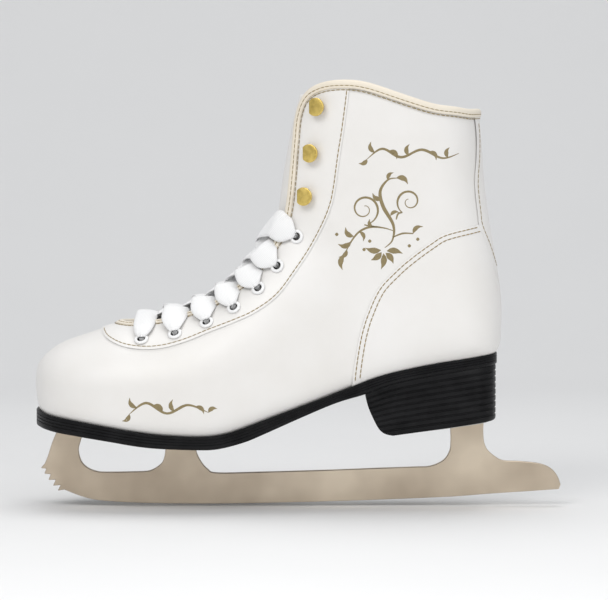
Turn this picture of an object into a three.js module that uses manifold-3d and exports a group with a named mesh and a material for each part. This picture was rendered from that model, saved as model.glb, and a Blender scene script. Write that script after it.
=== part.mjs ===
// A left figure skate: a laced boot of many layers on a sole, a heel block and a screwed-on blade.
// Millimetres, +Z up. X runs from the toe (-X) to the heel (+X), -Y is the outer side of the foot.
// The origin is on the running edge of the blade, at the lowest point of its rocker.
import * as THREE from 'three';
import { mergeVertices } from 'three/addons/utils/BufferGeometryUtils.js';
import Module from 'manifold-3d';

const wasm = await Module();
wasm.setup();

// Overall sizes. The outlines below are drawn for the drawn sizes and stretch with the overall ones.
const bootLength = 253;
const bootWidth = 88;
const skateHeight = 229;
const drawnLength = 253;
const drawnWidth = 88;
const drawnHeight = 229;

// Walls of the boot, from the outside in.
const overlayThickness = 1;
const shellThickness = 2;
const stiffenerThickness = 1;
const liningThickness = 2;
const tongueThickness = 5;
const laceRoom = 5.2; // between the shell's inner face and the tongue
const boardThickness = 2.3;
const sockThickness = 3;
const shankThickness = 1.2;
const shankHalfWidth = 7;

// Edges and overlaps of the boot.
const clearance = 0.3; // between pieces that touch
const seatGap = 0.9; // between a flat flange and the curved facing
const bindingWidth = 3.5;
const liningSetBack = 22; // from the throat's edge to the lining's edge
const tongueOverlap = 7.5; // how far the tongue runs under each facing
const soleLip = 1.8; // how far the sole stands out past the boot's wall
const heelInset = 0.6; // how far the heel block is inside the sole's outline
const footRise = 0.5; // above the sole's top edge, where its outline is taken from the boot's wall

// Metal pieces.
const bladeThickness = 4;
const plateThickness = 2.2;
const plateRecess = 1.5; // how deep a plate's pocket is
const screwShankRadius = 1.8;
const screwHeadRadius = 3.4;
const screwHeadHeight = 1.6; // of the cone, sunk in the plate
const screwDepth = 5.8; // of the shank past the plate, through the sole into the insole board
const screwTip = 1;
const eyeletBoreRadius = 2.1;
const eyeletBarrelRadius = 2.6;
const eyeletFlangeRadius = 3.9;
const eyeletFlangeThickness = 0.6;
const hookStemRadius = 2;
const hookBaseRadius = 4;
const hookFlangeThickness = 0.8;
const hookHeadRadius = 4.9;
const hookHeadThickness = 1.3;
const hookRise = 4.2; // from the facing to the underside of the hook's head
const hookHeadForward = 0.8; // of the head's middle past the stem's, away from the gap
const hookHeadSink = 0.2; // of the stem's end into the head
const hookHeadTurn = 0.75 * Math.PI; // from the middle of the head's round edge to its flat front

// Lace.
const laceRadius = 1.5; // gathered, where it passes an eyelet
const laceHalfWidth = 4.8; // spread flat, where it lies on a facing
const laceHalfThickness = 0.9;
const laceArch = 2; // how far a strip arches off the curved piece under it
const laceLeadIn = 2.5; // how far inside the gap a strip has risen clear of the facing's edge
const tailRadius = 1.5;
const agletRadius = 1.6;
const agletLength = 20;

// How finely round things are cut.
const ringSegments = 20;
const boreSegments = 6;
const roundSegments = 8;

const stretchX = bootLength / drawnLength;
const stretchY = bootWidth / drawnWidth;
const stretchZ = skateHeight / drawnHeight;
const far = 400; // past everything

// Sections of the boot from the toe to above the collar. Each is an oval between a point on the top or
// front (t) and a point on the bottom or back (b), with a half-width, a sideways shift, the fullness of
// its t half and its b half, and where between b and t it is widest.
const sections = [
  { t: [-89.6, 76], b: [-88.6, 50.5], half: 15, shift: 7, full: [2.2, 3], widest: 0.5 },
  { t: [-85, 81.5], b: [-84, 47.4], half: 25, shift: 6.5, full: [2.2, 4], widest: 0.46 },
  { t: [-76, 87.6], b: [-76, 45.6], half: 33, shift: 5.5, full: [2.1, 5], widest: 0.44 },
  { t: [-61, 93], b: [-64, 43.8], half: 39, shift: 4, full: [2, 6], widest: 0.42 },
  { t: [-45, 98], b: [-50, 41.9], half: 42, shift: 2.5, full: [1.95, 7], widest: 0.42 },
  { t: [-28, 101.5], b: [-34, 39.6], half: 43.5, shift: 1.2, full: [1.85, 7], widest: 0.42 },
  { t: [-10, 107], b: [-17, 37.8], half: 44, shift: 0.2, full: [1.8, 7], widest: 0.42 },
  { t: [5, 114], b: [3, 37.2], half: 43, shift: -0.5, full: [1.8, 7], widest: 0.42 },
  { t: [16, 122.5], b: [24, 42.2], half: 40, shift: -1, full: [1.85, 7], widest: 0.43 },
  { t: [24, 132], b: [50, 51.9], half: 36.5, shift: -1.2, full: [1.9, 7], widest: 0.44 },
  { t: [29, 142], b: [80, 63.6], half: 34.5, shift: -0.8, full: [2, 7], widest: 0.45 },
  { t: [32, 151], b: [112, 73], half: 34, shift: -0.3, full: [2.1, 6], widest: 0.46 },
  { t: [33.8, 158], b: [146, 79.4], half: 34, shift: 0, full: [2.15, 4.5], widest: 0.47 },
  { t: [35, 165], b: [158.3, 84.2], half: 34, shift: 0, full: [2.2, 3.3], widest: 0.48 },
  { t: [36, 173], b: [160.4, 97], half: 34.2, shift: 0, full: [2.2, 2.8], widest: 0.5 },
  { t: [37, 181], b: [160.4, 112], half: 34.5, shift: 0, full: [2.2, 2.5], widest: 0.5 },
  { t: [38.6, 191], b: [157.8, 131], half: 35, shift: 0, full: [2.2, 2.4], widest: 0.5 },
  { t: [40.3, 201], b: [154, 153], half: 36, shift: 0, full: [2.2, 2.35], widest: 0.5 },
  { t: [42.2, 211], b: [151.2, 175], half: 37, shift: 0, full: [2.2, 2.3], widest: 0.5 },
  { t: [44.5, 221], b: [149.7, 195], half: 38, shift: 0, full: [2.2, 2.3], widest: 0.5 },
  { t: [48, 232], b: [148.3, 215], half: 39, shift: 0, full: [2.2, 2.3], widest: 0.5 },
  { t: [51.5, 243], b: [148, 236], half: 39.5, shift: 0, full: [2.2, 2.3], widest: 0.5 },
];
const toePoint = [-91.1, 67];
const toeShift = 7;

// Side-view outlines, as [x, z].
const soleTopLine = [
  [-91, 52.4], [-89.6, 51.8], [-82.8, 49.8], [-70.4, 47.9], [-58.1, 46], [-41.5, 43.1], [-24.9, 40.8],
  [-8.4, 39.8], [3.9, 39.8], [12.2, 40.8], [20.5, 43.4], [30.2, 47.1], [68, 61], [89.6, 69.6],
  [102.5, 73.4], [123.1, 77.6], [141.2, 80.3], [157.6, 82.8], [164, 83.6],
];
const soleBottomLine = [
  [-91, 43], [-84.5, 41.8], [-79.5, 40.8], [-66.3, 39.2], [-49.8, 36.9], [-33.2, 34.3], [-20, 33.2],
  [-0.2, 32.6], [8.1, 32.9], [16.4, 34.6], [24.6, 37.1], [30.2, 39.4], [68, 55.6], [86.6, 61.5],
  [102, 67], [123, 71.2], [141, 74], [164, 77.5],
];
const heelBreast = [[87.5, 100], [87.5, 62], [89, 54.5], [92.1, 47.5], [94.5, 42.5], [98, 40.2], [102, 39.4]];
const heelBottomLine = [[102, 39.4], [158.5, 46.6]];
const heelFaceSpan = [90, 165]; // past both ends of the heel
const heelBack = [[160.2, 48.5], [159.3, 57], [159.6, 100]];
const collarLine = [
  [46, 198], [52.4, 216.9], [54.8, 221.5], [59.2, 225.3], [67.5, 228.3], [80.5, 228.7], [90.3, 226.8],
  [101.6, 223], [113, 219.2], [124.4, 215.8], [135.8, 214.5], [146, 212.6], [170, 209],
];
const eyestayLine = [
  [80, 240], [78.4, 223.8], [75.9, 204], [73.6, 189], [71.3, 172], [69.2, 162.3], [65.1, 152], [58.4, 139.3],
  [50.9, 128], [40.8, 114.6], [28.6, 105.6], [16.4, 100], [4.3, 95.3], [-7.9, 90.4], [-19.3, 87.1],
  [-29.8, 86], [-40.3, 87], [-48, 89.6], [-52.5, 92.6], [-55, 97],
];
const counterLine = [
  [165, 156], [147, 151.6], [130, 147.6], [121.5, 142.8], [110, 134.3], [102.4, 127.5], [94, 118.3],
  [84.4, 96.4], [81.7, 79], [80.2, 66], [79, 55],
];
const backStripLine = [
  [143.5, 222], [146.7, 204], [147, 189], [146, 174], [147.5, 158.6], [148.6, 151], [153.2, 139.6],
  [160, 120], [168, 104],
];

// Half the gap between the facings, at places along the line of the t points.
const throatGap = [
  [-43, 1], [-42, 6], [-39, 10], [-34, 13], [-20, 15.5], [0, 17], [16, 18], [26, 19], [33, 20], [42, 21],
  [51.5, 22],
];
const throatToeRings = 4; // how many of them make the round toe end
const throatAbove = 24; // how far the throat's cutter reaches out of the surface, and into it
const throatBelow = 13;
const tongueTop = 221;
const tongueStart = 7; // past the toe end of the throat
const hingeHeight = 151;
const hingeX = 50;
const hingeTilt = 0.3; // of the fold across the tongue, in radians

// Eyelets from the top down and hooks from the top down, as seen from the side.
const eyeletPlaces = [
  [51, 145.4], [40.7, 129.7], [30.6, 117.8], [17.6, 107.4], [3, 99.3], [-14, 93.2], [-32, 90],
];
const hookPlaces = [[62.3, 214.5], [58.9, 190.2], [55.7, 167]];

// Blade, drawn from the toe picks along the running edge to the tail and back along the windows.
const toePicks = [
  [-86.1, 21.7], [-88.2, 19.3], [-85.2, 19], [-86.3, 16.3], [-82.8, 15.9], [-84.1, 12.8], [-80.1, 13],
  [-81.6, 9.7], [-77.4, 10.1], [-79.1, 7], [-75.4, 7.6],
];
const runningEdge = [
  [-71.3, 5.9], [-64.6, 3.5], [-56.4, 1.8], [-41.5, 0.7], [-24.9, 0.2], [-10, 0], [10, 0], [30.2, 0.3],
  [68, 1.2], [102.5, 2.4], [135.2, 3.8], [154.1, 5.3], [180, 7], [192.9, 7.9],
];
const bladeTail = [
  [193.8, 10.4], [192, 15.2], [188.6, 19.1], [182.5, 21.7], [162.8, 23.4], [158.4, 25.5], [154.1, 29.4],
  [151.7, 35.4],
];
const rearStanchion = [133.9, 152];
const rearWindow = [
  [134.1, 33.7], [133.5, 28.5], [130, 23.4], [123.1, 20.4], [114.5, 19.9], [93.9, 19.2], [68, 18.2],
  [30.2, 17.1], [7.3, 16.7], [2.3, 18.8], [-1, 22.5], [-3.5, 27.4],
];
const middleStanchion = [-20.3, -4.3];
const frontWindow = [
  [-21.3, 24.9], [-23.3, 21.3], [-29.1, 17.9], [-37.4, 17.3], [-53.1, 17.1], [-58.1, 17.6], [-63, 19.6],
  [-66.3, 23.3], [-67.7, 29.1],
];
const frontStanchion = [-79.1, -65.4];
const bladeFront = [[-82, 33.2], [-84.1, 26.6]];

// Plan outlines of half of each plate, as [x, half-width], and its screws.
const toePlateOutline = [[-79.5, 7], [-76, 12], [-64, 18], [-46, 21.5], [-28, 22], [-10, 19], [2, 12], [5, 6]];
const heelPlateOutline = [[105, 8], [108, 14], [115, 18], [134, 18], [147, 16], [152.5, 12], [154.5, 6]];
const toeScrews = [[-64, 11], [-38, 15], [-8, 12]];
const heelScrews = [[115, 11.5], [143, 10.5]];
const shankSpan = [28, 112];
const toePuffEnd = -57;
const counterStiffenerFront = 100;
const counterStiffenerTop = 122;

// Inside the boot the lace turns down from each top eyelet, and its two ends lie loose on the sock.
const laceLeads = {
  outer: [[54.3, -17.4, 142.6], [57.3, -15.7, 138.7], [60.8, -15.5, 133.3]],
  inner: [[54.3, 17.4, 142.8], [57.3, 15.7, 138.7], [60.8, 15.5, 133.3]],
};
const tailRoutes = {
  outer: [
    [61, -15.5, 133], [66, -17, 126], [73, -18, 117], [82, -18.5, 106], [91, -18.5, 96.5], [100, -18.3, 89.4],
    [109, -17.6, 85], [118, -15.5, 84.4], [126, -11.5, 85.7], [132, -5.5, 86.8], [134.5, 1.5, 87.2],
    [132.5, 8.5, 86.9], [127, 13.5, 85.9], [119, 16.5, 84.3], [109, 17.5, 82.3], [98, 17.5, 79.3],
    [87, 17, 76], [76, 16.5, 72.3], [65, 16.5, 68.1], [54, 17, 63.8], [44, 17.5, 60.1], [36, 18, 57.1],
  ],
  inner: [
    [61, 15.5, 133], [65, 14.5, 127], [70, 12, 118.5], [75, 8, 109.5], [79.5, 3, 100.5], [83, -2.5, 92],
    [84.5, -8, 84.5], [82.5, -12.5, 78.5], [77, -15, 74], [69, -16, 69.8], [58, -16, 65.4], [47, -16, 61.1],
    [36, -16, 57], [25, -16.5, 53], [13, -17, 50], [1, -17.3, 47.8], [-11, -17.3, 48], [-22, -16.5, 48.8],
    [-32, -13.5, 49.9], [-39.5, -7, 50.8], [-42, 2, 51.1], [-39, 10.5, 50.8], [-31, 16.5, 49.8],
    [-20, 18.5, 48.7], [-10, 19, 48],
  ],
};
const agletEnds = { outer: [17, 18.5, 51.1], inner: [10, 19.3, 49.8] };

// ---- finishes ----

const finish = (color, roughness, metalness) => new THREE.MeshStandardMaterial({ color, roughness, metalness });
const whiteLeather = finish(0xf1eeea, 0.42, 0);
const creamTape = finish(0xf3e9d4, 0.6, 0);
const blackSole = finish(0x0d0d0f, 0.3, 0);
const steel = finish(0xa39a88, 0.34, 1);
const plateSteel = finish(0x9d9a94, 0.4, 1);
const gold = finish(0xc2a850, 0.3, 1);
const whiteEnamel = finish(0xf4f4f2, 0.35, 0.1);
const liningCloth = finish(0xe9e2d3, 0.9, 0);
const foam = finish(0xdcd8cd, 0.95, 0);
const board = finish(0xb49a70, 0.9, 0);
const laceCloth = finish(0xf7f7f5, 0.85, 0);
const clearPlastic = finish(0xe8e8e4, 0.2, 0);

// ---- helpers ----

const placed = (points) => points.map(([x, z]) => [x * stretchX, z * stretchZ]);

// The height of a line of [x, z] points at x.
function heightAt(line, x) {
  const last = line.length - 1;
  let i = line.findIndex((point) => point[0] >= x);
  if (i < 0) i = last;
  i = Math.max(1, i);
  const [x0, z0] = line[i - 1];
  const [x1, z1] = line[i];
  return z0 + ((x - x0) / (x1 - x0)) * (z1 - z0);
}

// The line again, moved sideways to its left by a distance.
function movedLine(line, distance) {
  return line.map((point, i) => {
    const before = line[Math.max(0, i - 1)];
    const after = line[Math.min(line.length - 1, i + 1)];
    const run = new THREE.Vector2(after[0] - before[0], after[1] - before[1]).normalize();
    return [point[0] - run.y * distance, point[1] + run.x * distance];
  });
}

function solidOf(geometry) {
  geometry.deleteAttribute('normal');
  geometry.deleteAttribute('uv');
  const merged = mergeVertices(geometry, 1e-4);
  const vertProperties = new Float32Array(merged.attributes.position.array);
  const triVerts = new Uint32Array(merged.index.array);
  return new wasm.Manifold(new wasm.Mesh({ numProp: 3, vertProperties, triVerts }));
}

function geometryOf(solid) {
  const mesh = solid.getMesh();
  const geometry = new THREE.BufferGeometry();
  geometry.setAttribute('position', new THREE.BufferAttribute(mesh.vertProperties, 3));
  geometry.setIndex(new THREE.BufferAttribute(mesh.triVerts, 1));
  geometry.computeVertexNormals();
  return geometry;
}

// A closed skin over rings of points. A ring of one point is a pole, and the other ends are capped.
function skin(rings) {
  const points = [];
  const starts = [];
  for (const ring of rings) {
    starts.push(points.length);
    points.push(...ring);
  }
  const faces = [];
  for (let i = 0; i + 1 < rings.length; i++) {
    const count = Math.max(rings[i].length, rings[i + 1].length);
    for (let j = 0; j < count; j++) {
      const a = starts[i] + (rings[i].length > 1 ? j : 0);
      const b = starts[i] + (rings[i].length > 1 ? (j + 1) % count : 0);
      const c = starts[i + 1] + (rings[i + 1].length > 1 ? (j + 1) % count : 0);
      const d = starts[i + 1] + (rings[i + 1].length > 1 ? j : 0);
      if (a !== b) faces.push(a, b, c);
      if (c !== d) faces.push(a, c, d);
    }
  }
  for (const end of [0, rings.length - 1]) {
    const ring = rings[end];
    if (ring.length === 1) continue;
    const middle = new THREE.Vector3();
    for (const point of ring) middle.addScaledVector(point, 1 / ring.length);
    points.push(middle);
    for (let j = 0; j < ring.length; j++) {
      const a = starts[end] + j;
      const b = starts[end] + ((j + 1) % ring.length);
      if (end === 0) faces.push(points.length - 1, b, a);
      else faces.push(points.length - 1, a, b);
    }
  }
  let volume = 0;
  for (let f = 0; f < faces.length; f += 3) {
    const [a, b, c] = [points[faces[f]], points[faces[f + 1]], points[faces[f + 2]]];
    volume += a.dot(new THREE.Vector3().crossVectors(b, c));
  }
  if (volume < 0) faces.reverse();
  const geometry = new THREE.BufferGeometry();
  const numbers = points.flatMap((p) => p.toArray());
  geometry.setAttribute('position', new THREE.Float32BufferAttribute(numbers, 3));
  geometry.setIndex(faces);
  return geometry;
}

function shapeOf(points) {
  return new THREE.Shape(points.map(([x, y]) => new THREE.Vector2(x, y)));
}

// A side-view outline made solid across the skate, and a plan outline made solid upwards.
function acrossY(outline, halfWidth = far) {
  const depth = 2 * halfWidth;
  const geometry = new THREE.ExtrudeGeometry(shapeOf(outline), { depth, bevelEnabled: false });
  geometry.rotateX(Math.PI / 2);
  geometry.translate(0, halfWidth, 0);
  return solidOf(geometry);
}

function upZ(outline) {
  const geometry = new THREE.ExtrudeGeometry(shapeOf(outline), { depth: 2 * far, bevelEnabled: false });
  geometry.translate(0, 0, -far);
  return solidOf(geometry);
}

// A band between two heights over a line, across the whole skate.
function bandOver(line, low, high) {
  const lower = line.map(([x, z]) => [x, z + low]);
  const upper = line.map(([x, z]) => [x, z + high]);
  return acrossY([...lower, ...upper.reverse()]);
}

// ---- the boot's surface ----

const stations = sections.map((section) => ({
  t: new THREE.Vector3(section.t[0] * stretchX, 0, section.t[1] * stretchZ),
  b: new THREE.Vector3(section.b[0] * stretchX, 0, section.b[1] * stretchZ),
  half: section.half * stretchY,
  shift: section.shift * stretchY,
  full: section.full,
  widest: section.widest,
}));

// The point of a section at an angle, 0 at its t point and a quarter turn on the inner side.
function sectionPoint({ t, b, half, shift, full, widest }, angle) {
  const [c, s] = [Math.cos(angle), Math.sin(angle)];
  const power = 2 / (c >= 0 ? full[0] : full[1]);
  const rise = Math.sign(c) * Math.abs(c) ** power * (c >= 0 ? 1 - widest : widest);
  const point = b.clone().lerp(t, widest + rise);
  point.y = shift + Math.sign(s) * Math.abs(s) ** power * half;
  return point;
}

function ringOf(station) {
  const angles = Array.from({ length: ringSegments }, (_, j) => (2 * Math.PI * j) / ringSegments);
  return angles.map((angle) => sectionPoint(station, angle));
}

const grid = stations.map(ringOf);
const toe = new THREE.Vector3(toePoint[0] * stretchX, toeShift * stretchY, toePoint[1] * stretchZ);

function normalAt(i, j) {
  const before = i > 0 ? grid[i - 1][j] : toe;
  const after = grid[Math.min(i + 1, grid.length - 1)][j];
  const left = grid[i][(j + ringSegments - 1) % ringSegments];
  const right = grid[i][(j + 1) % ringSegments];
  const along = after.clone().sub(before);
  const round = right.clone().sub(left);
  return along.cross(round).normalize();
}
const normals = grid.map((ring, i) => ring.map((_, j) => normalAt(i, j)));

// The boot's outer surface moved out by a distance, as a solid.
const bootSolids = new Map();
function bootSolid(out) {
  if (!bootSolids.has(out)) {
    const rings = grid.map((ring, i) => ring.map((p, j) => p.clone().addScaledVector(normals[i][j], out)));
    const pole = toe.clone().add(new THREE.Vector3(-out, 0, 0));
    bootSolids.set(out, solidOf(skin([[pole], ...rings])));
  }
  return bootSolids.get(out);
}
const layer = (outer, inner) => bootSolid(outer).subtract(bootSolid(inner));

// Where a line across the skate meets the boot's surface from one side (-1 outer, 1 inner).
const bothSides = new THREE.MeshBasicMaterial({ side: THREE.DoubleSide });
const bootMesh = new THREE.Mesh(skin([[toe], ...grid]), bothSides);
bootMesh.updateMatrixWorld();
function wallPoint(x, z, side) {
  const ray = new THREE.Raycaster(new THREE.Vector3(x, side * far, z), new THREE.Vector3(0, -side, 0));
  const hit = ray.intersectObject(bootMesh)[0];
  return hit ? hit.point : null;
}

// The same with the outward direction of a seat of some radius there.
function seatOn(x, z, side, radius) {
  const [west, east] = [wallPoint(x - radius, z, side), wallPoint(x + radius, z, side)];
  const [low, high] = [wallPoint(x, z - radius, side), wallPoint(x, z + radius, side)];
  const normal = new THREE.Vector3().crossVectors(east.clone().sub(west), high.clone().sub(low)).normalize();
  if (normal.y * side < 0) normal.negate();
  return { point: wallPoint(x, z, side), normal };
}

// ---- depths of the layers under the outer surface ----

const overlayOut = clearance + overlayThickness;
const shellIn = -shellThickness;
const stiffenerOut = shellIn - clearance;
const stiffenerIn = stiffenerOut - stiffenerThickness;
const liningOut = stiffenerIn - clearance;
const liningIn = liningOut - liningThickness;
const tongueOut = shellIn - laceRoom;
const tongueIn = tongueOut - tongueThickness;

// ---- cutters ----

// The section whose t point is at x.
function sectionAt(x) {
  const last = stations.length - 1;
  let i = stations.findIndex((station) => station.t.x >= x);
  if (i < 0) i = last;
  i = Math.max(1, i);
  const [low, high] = [stations[i - 1], stations[i]];
  const share = (x - low.t.x) / (high.t.x - low.t.x);
  const mix = (p, q) => p + (q - p) * share;
  return {
    t: low.t.clone().lerp(high.t, share),
    b: low.b.clone().lerp(high.b, share),
    half: mix(low.half, high.half),
    shift: mix(low.shift, high.shift),
    full: [mix(low.full[0], high.full[0]), mix(low.full[1], high.full[1])],
    widest: mix(low.widest, high.widest),
  };
}

// The edge of the throat on one side, gap from the middle and grow further round the section.
function throatEdge(section, side, gap, grow) {
  const step = 0.01;
  let angle = Math.asin((gap / section.half) ** (section.full[0] / 2));
  let point = sectionPoint(section, side * angle);
  for (let walked = 0; walked < Math.abs(grow);) {
    angle += Math.sign(grow) * step;
    const next = sectionPoint(section, side * angle);
    walked += next.distanceTo(point);
    point = next;
  }
  const run = sectionPoint(section, side * (angle + step)).sub(sectionPoint(section, side * (angle - step)));
  const across = new THREE.Vector3().crossVectors(section.t.clone().sub(section.b), new THREE.Vector3(0, 1, 0));
  const out = new THREE.Vector3().crossVectors(run, across).normalize();
  if (out.dot(section.t.clone().sub(section.b)) < 0) out.negate();
  return { point, out };
}

// The space of the throat, wider by grow all round.
function throatSolid(grow, toeGrow = grow) {
  const rings = throatGap.map(([drawnX, gap], k) => {
    const lead = Math.max(0, 1 - k / throatToeRings);
    const section = sectionAt(drawnX * stretchX - toeGrow * lead);
    const sides = [-1, 1].map((side) => throatEdge(section, side, gap * stretchY, grow));
    const roof = section.t.clone().addScaledVector(section.t.clone().sub(section.b).normalize(), throatAbove);
    roof.y = section.shift;
    const [left, right] = sides.map(({ point, out }) => ({
      low: point.clone().addScaledVector(out, -throatBelow),
      high: point.clone().addScaledVector(out, throatAbove / 2),
    }));
    return [left.low, left.high, roof, right.high, right.low];
  });
  return solidOf(skin(rings));
}

function collarSolid(grow) {
  const line = movedLine(placed(collarLine), -grow);
  const top = far;
  return acrossY([...line, [line[line.length - 1][0], top], [-far, top], [-far, line[0][1]]]);
}

const soleTop = placed(soleTopLine);
const soleBottom = placed(soleBottomLine);
const bootFloor = [
  [-far, stations[0].b.z],
  ...stations.filter((s, i) => i < 13).map((s) => [s.b.x, s.b.z]),
  [far, stations[13].b.z + 2],
];
const eyestaySide = (grow) => {
  const line = movedLine(placed(eyestayLine), grow);
  return acrossY([...line, [line[line.length - 1][0], far], [line[0][0], far]]);
};
const counterSide = (grow) => {
  const line = movedLine(placed(counterLine), grow);
  return acrossY([...line, [line[line.length - 1][0], -far], [far, -far], [far, line[0][1]]]);
};
const backStripSide = (grow) => {
  const line = movedLine(placed(backStripLine), -grow);
  return acrossY([...line, [far, line[line.length - 1][1]], [far, line[0][1]]]);
};
const underRim = acrossY([...soleTop.map(([x, z]) => [x, z + clearance]), [far, -far], [-far, -far]]);
const trimmed = (solid) => solid
  .subtract(throatSolid(bindingWidth + clearance))
  .subtract(collarSolid(bindingWidth + clearance));

// ---- soft layers ----

let upperShell = trimmed(layer(0, shellIn));
let eyestay = trimmed(layer(overlayOut, clearance)).intersect(eyestaySide(0));
const counterOverlay = trimmed(layer(overlayOut, clearance))
  .intersect(counterSide(0))
  .subtract(backStripSide(clearance))
  .subtract(underRim);
const backStrip = trimmed(layer(overlayOut, clearance)).intersect(backStripSide(0));
const throatBinding = layer(overlayOut, stiffenerOut).intersect(throatSolid(bindingWidth));
const collarBinding = layer(overlayOut, liningIn).intersect(collarSolid(bindingWidth));
const binding = throatBinding.add(collarBinding).subtract(throatSolid(0)).subtract(collarSolid(0));

const boardLow = shellThickness + clearance;
const boardHigh = boardLow + boardThickness;
const sockLow = boardHigh + clearance;
const sockHigh = sockLow + sockThickness;
const shank = bandOver(bootFloor, boardLow, boardLow + shankThickness)
  .intersect(bootSolid(stiffenerOut))
  .intersect(upZ([
    [shankSpan[0] * stretchX, -shankHalfWidth],
    [shankSpan[1] * stretchX, -shankHalfWidth],
    [shankSpan[1] * stretchX, shankHalfWidth],
    [shankSpan[0] * stretchX, shankHalfWidth],
  ]));
const shankSlot = bandOver(bootFloor, -1, boardLow + shankThickness + clearance)
  .intersect(upZ([
    [shankSpan[0] * stretchX - clearance, -shankHalfWidth - clearance],
    [shankSpan[1] * stretchX + clearance, -shankHalfWidth - clearance],
    [shankSpan[1] * stretchX + clearance, shankHalfWidth + clearance],
    [shankSpan[0] * stretchX - clearance, shankHalfWidth + clearance],
  ]));
let insoleBoard = bandOver(bootFloor, boardLow, boardHigh)
  .intersect(bootSolid(stiffenerOut))
  .subtract(shankSlot);
const sock = bandOver(bootFloor, sockLow, sockHigh).intersect(bootSolid(liningIn - 2.5 * clearance));
const underSock = bandOver(bootFloor, -far, sockLow);

const toePuff = layer(stiffenerOut, stiffenerIn)
  .intersect(acrossY([[-far, -far], [toePuffEnd * stretchX, -far], [toePuffEnd * stretchX, far], [-far, far]]))
  .subtract(underSock);
const counterStiffener = layer(stiffenerOut, stiffenerIn)
  .intersect(acrossY([
    [counterStiffenerFront * stretchX, -far],
    [far, -far],
    [far, counterStiffenerTop * stretchZ],
    [counterStiffenerFront * stretchX, counterStiffenerTop * stretchZ],
  ]))
  .subtract(underSock);
const anklePadding = trimmed(layer(stiffenerOut, stiffenerIn))
  .intersect(acrossY([
    [-far, counterStiffenerTop * stretchZ + clearance],
    [far, counterStiffenerTop * stretchZ + clearance],
    [far, far],
    [-far, far],
  ]))
  .subtract(eyestaySide(clearance));
const lining = layer(liningOut, liningIn)
  .subtract(throatSolid(liningSetBack))
  .subtract(collarSolid(bindingWidth + clearance))
  .subtract(underSock);

// ---- tongue ----

const tongueAll = layer(tongueOut, tongueIn)
  .intersect(throatSolid(tongueOverlap, tongueStart))
  .intersect(acrossY([[-far, -far], [far, -far], [far, tongueTop * stretchZ], [-far, tongueTop * stretchZ]]));
function hingeCut(from, to) {
  const geometry = new THREE.BoxGeometry(2 * far, 2 * far, to - from);
  geometry.translate(0, 0, (from + to) / 2);
  geometry.rotateY(hingeTilt);
  geometry.translate(hingeX * stretchX, 0, hingeHeight * stretchZ);
  return solidOf(geometry);
}
const tongueLower = tongueAll.intersect(hingeCut(-far, -clearance / 2));
const tongueUpper = tongueAll.intersect(hingeCut(clearance / 2, far));

// ---- sole, heel and blade ----

// Where the boot ends along X at a height: the toe (from -1) or the heel (from 1).
function endPoint(y, z, from) {
  const ray = new THREE.Raycaster(new THREE.Vector3(from * far, y, z), new THREE.Vector3(-from, 0, 0));
  return ray.intersectObject(bootMesh)[0].point.x;
}

// The sole's outline follows the foot of the boot's wall, lip outside it.
function footOutline(lip) {
  const toeX = endPoint(toeShift * stretchY, soleTop[1][1] + footRise, -1);
  const heelX = endPoint(0, soleTop[soleTop.length - 2][1] + footRise, 1);
  const steps = 18;
  const outer = [];
  const inner = [];
  for (let k = 1; k < steps; k++) {
    const x = toeX + ((heelX - toeX) * (1 - Math.cos((Math.PI * k) / steps))) / 2;
    const z = heightAt(soleTop, x) + footRise;
    const walls = [wallPoint(x, z, -1), wallPoint(x, z, 1)];
    if (!walls[0] || !walls[1]) continue;
    outer.push([x, walls[0].y - lip]);
    inner.push([x, walls[1].y + lip]);
  }
  return [[toeX - lip * 0.3, toeShift * stretchY], ...outer, [heelX + lip, 0], ...inner.reverse()];
}
const soleStrip = acrossY([...soleBottom, ...[...soleTop].reverse()]);
let outsole = soleStrip.intersect(upZ(footOutline(soleLip))).subtract(bootSolid(clearance));

const heelBottom = placed(heelBottomLine);
const heelSide = [...placed(heelBreast), ...heelBottom.slice(1), ...placed(heelBack)];
const heelRoom = bandOver(soleBottom, -far, -clearance);
let heelBlock = acrossY(heelSide).intersect(heelRoom).intersect(upZ(footOutline(soleLip - heelInset)));

// A plate lies in a pocket under the sole or the heel.
function plate(line, outline, grow, low, high) {
  const wide = movedLine(outline.map(([x, half]) => [x * stretchX, half * stretchY]), grow);
  const narrow = [...wide].reverse().map(([x, half]) => [x, -half]);
  return bandOver(line, low, high).intersect(upZ([...wide, ...narrow]));
}
const plateHigh = plateRecess - clearance;
const plateLow = plateHigh - plateThickness;
const heelFace = heelFaceSpan.map((x) => [x * stretchX, heightAt(heelBottom, x * stretchX)]);
let toePlate = plate(soleBottom, toePlateOutline, 0, plateLow, plateHigh);
let heelPlate = plate(heelFace, heelPlateOutline, 0, plateLow, plateHigh);
outsole = outsole.subtract(plate(soleBottom, toePlateOutline, clearance, -far, plateRecess));
heelBlock = heelBlock.subtract(plate(heelFace, heelPlateOutline, clearance, -far, plateRecess));

const bladeTop = (line, x) => [x, heightAt(line, x) + plateLow - clearance];
const bladeOutline = [
  bladeTop(soleBottom, frontStanchion[0] * stretchX),
  ...placed(bladeFront),
  ...placed(toePicks),
  ...placed(runningEdge),
  ...placed(bladeTail),
  bladeTop(heelFace, rearStanchion[1] * stretchX),
  bladeTop(heelFace, rearStanchion[0] * stretchX),
  ...placed(rearWindow),
  bladeTop(soleBottom, middleStanchion[1] * stretchX),
  bladeTop(soleBottom, middleStanchion[0] * stretchX),
  ...placed(frontWindow),
  bladeTop(soleBottom, frontStanchion[1] * stretchX),
];
const blade = acrossY(bladeOutline, bladeThickness / 2);

// ---- turned pieces ----

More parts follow.
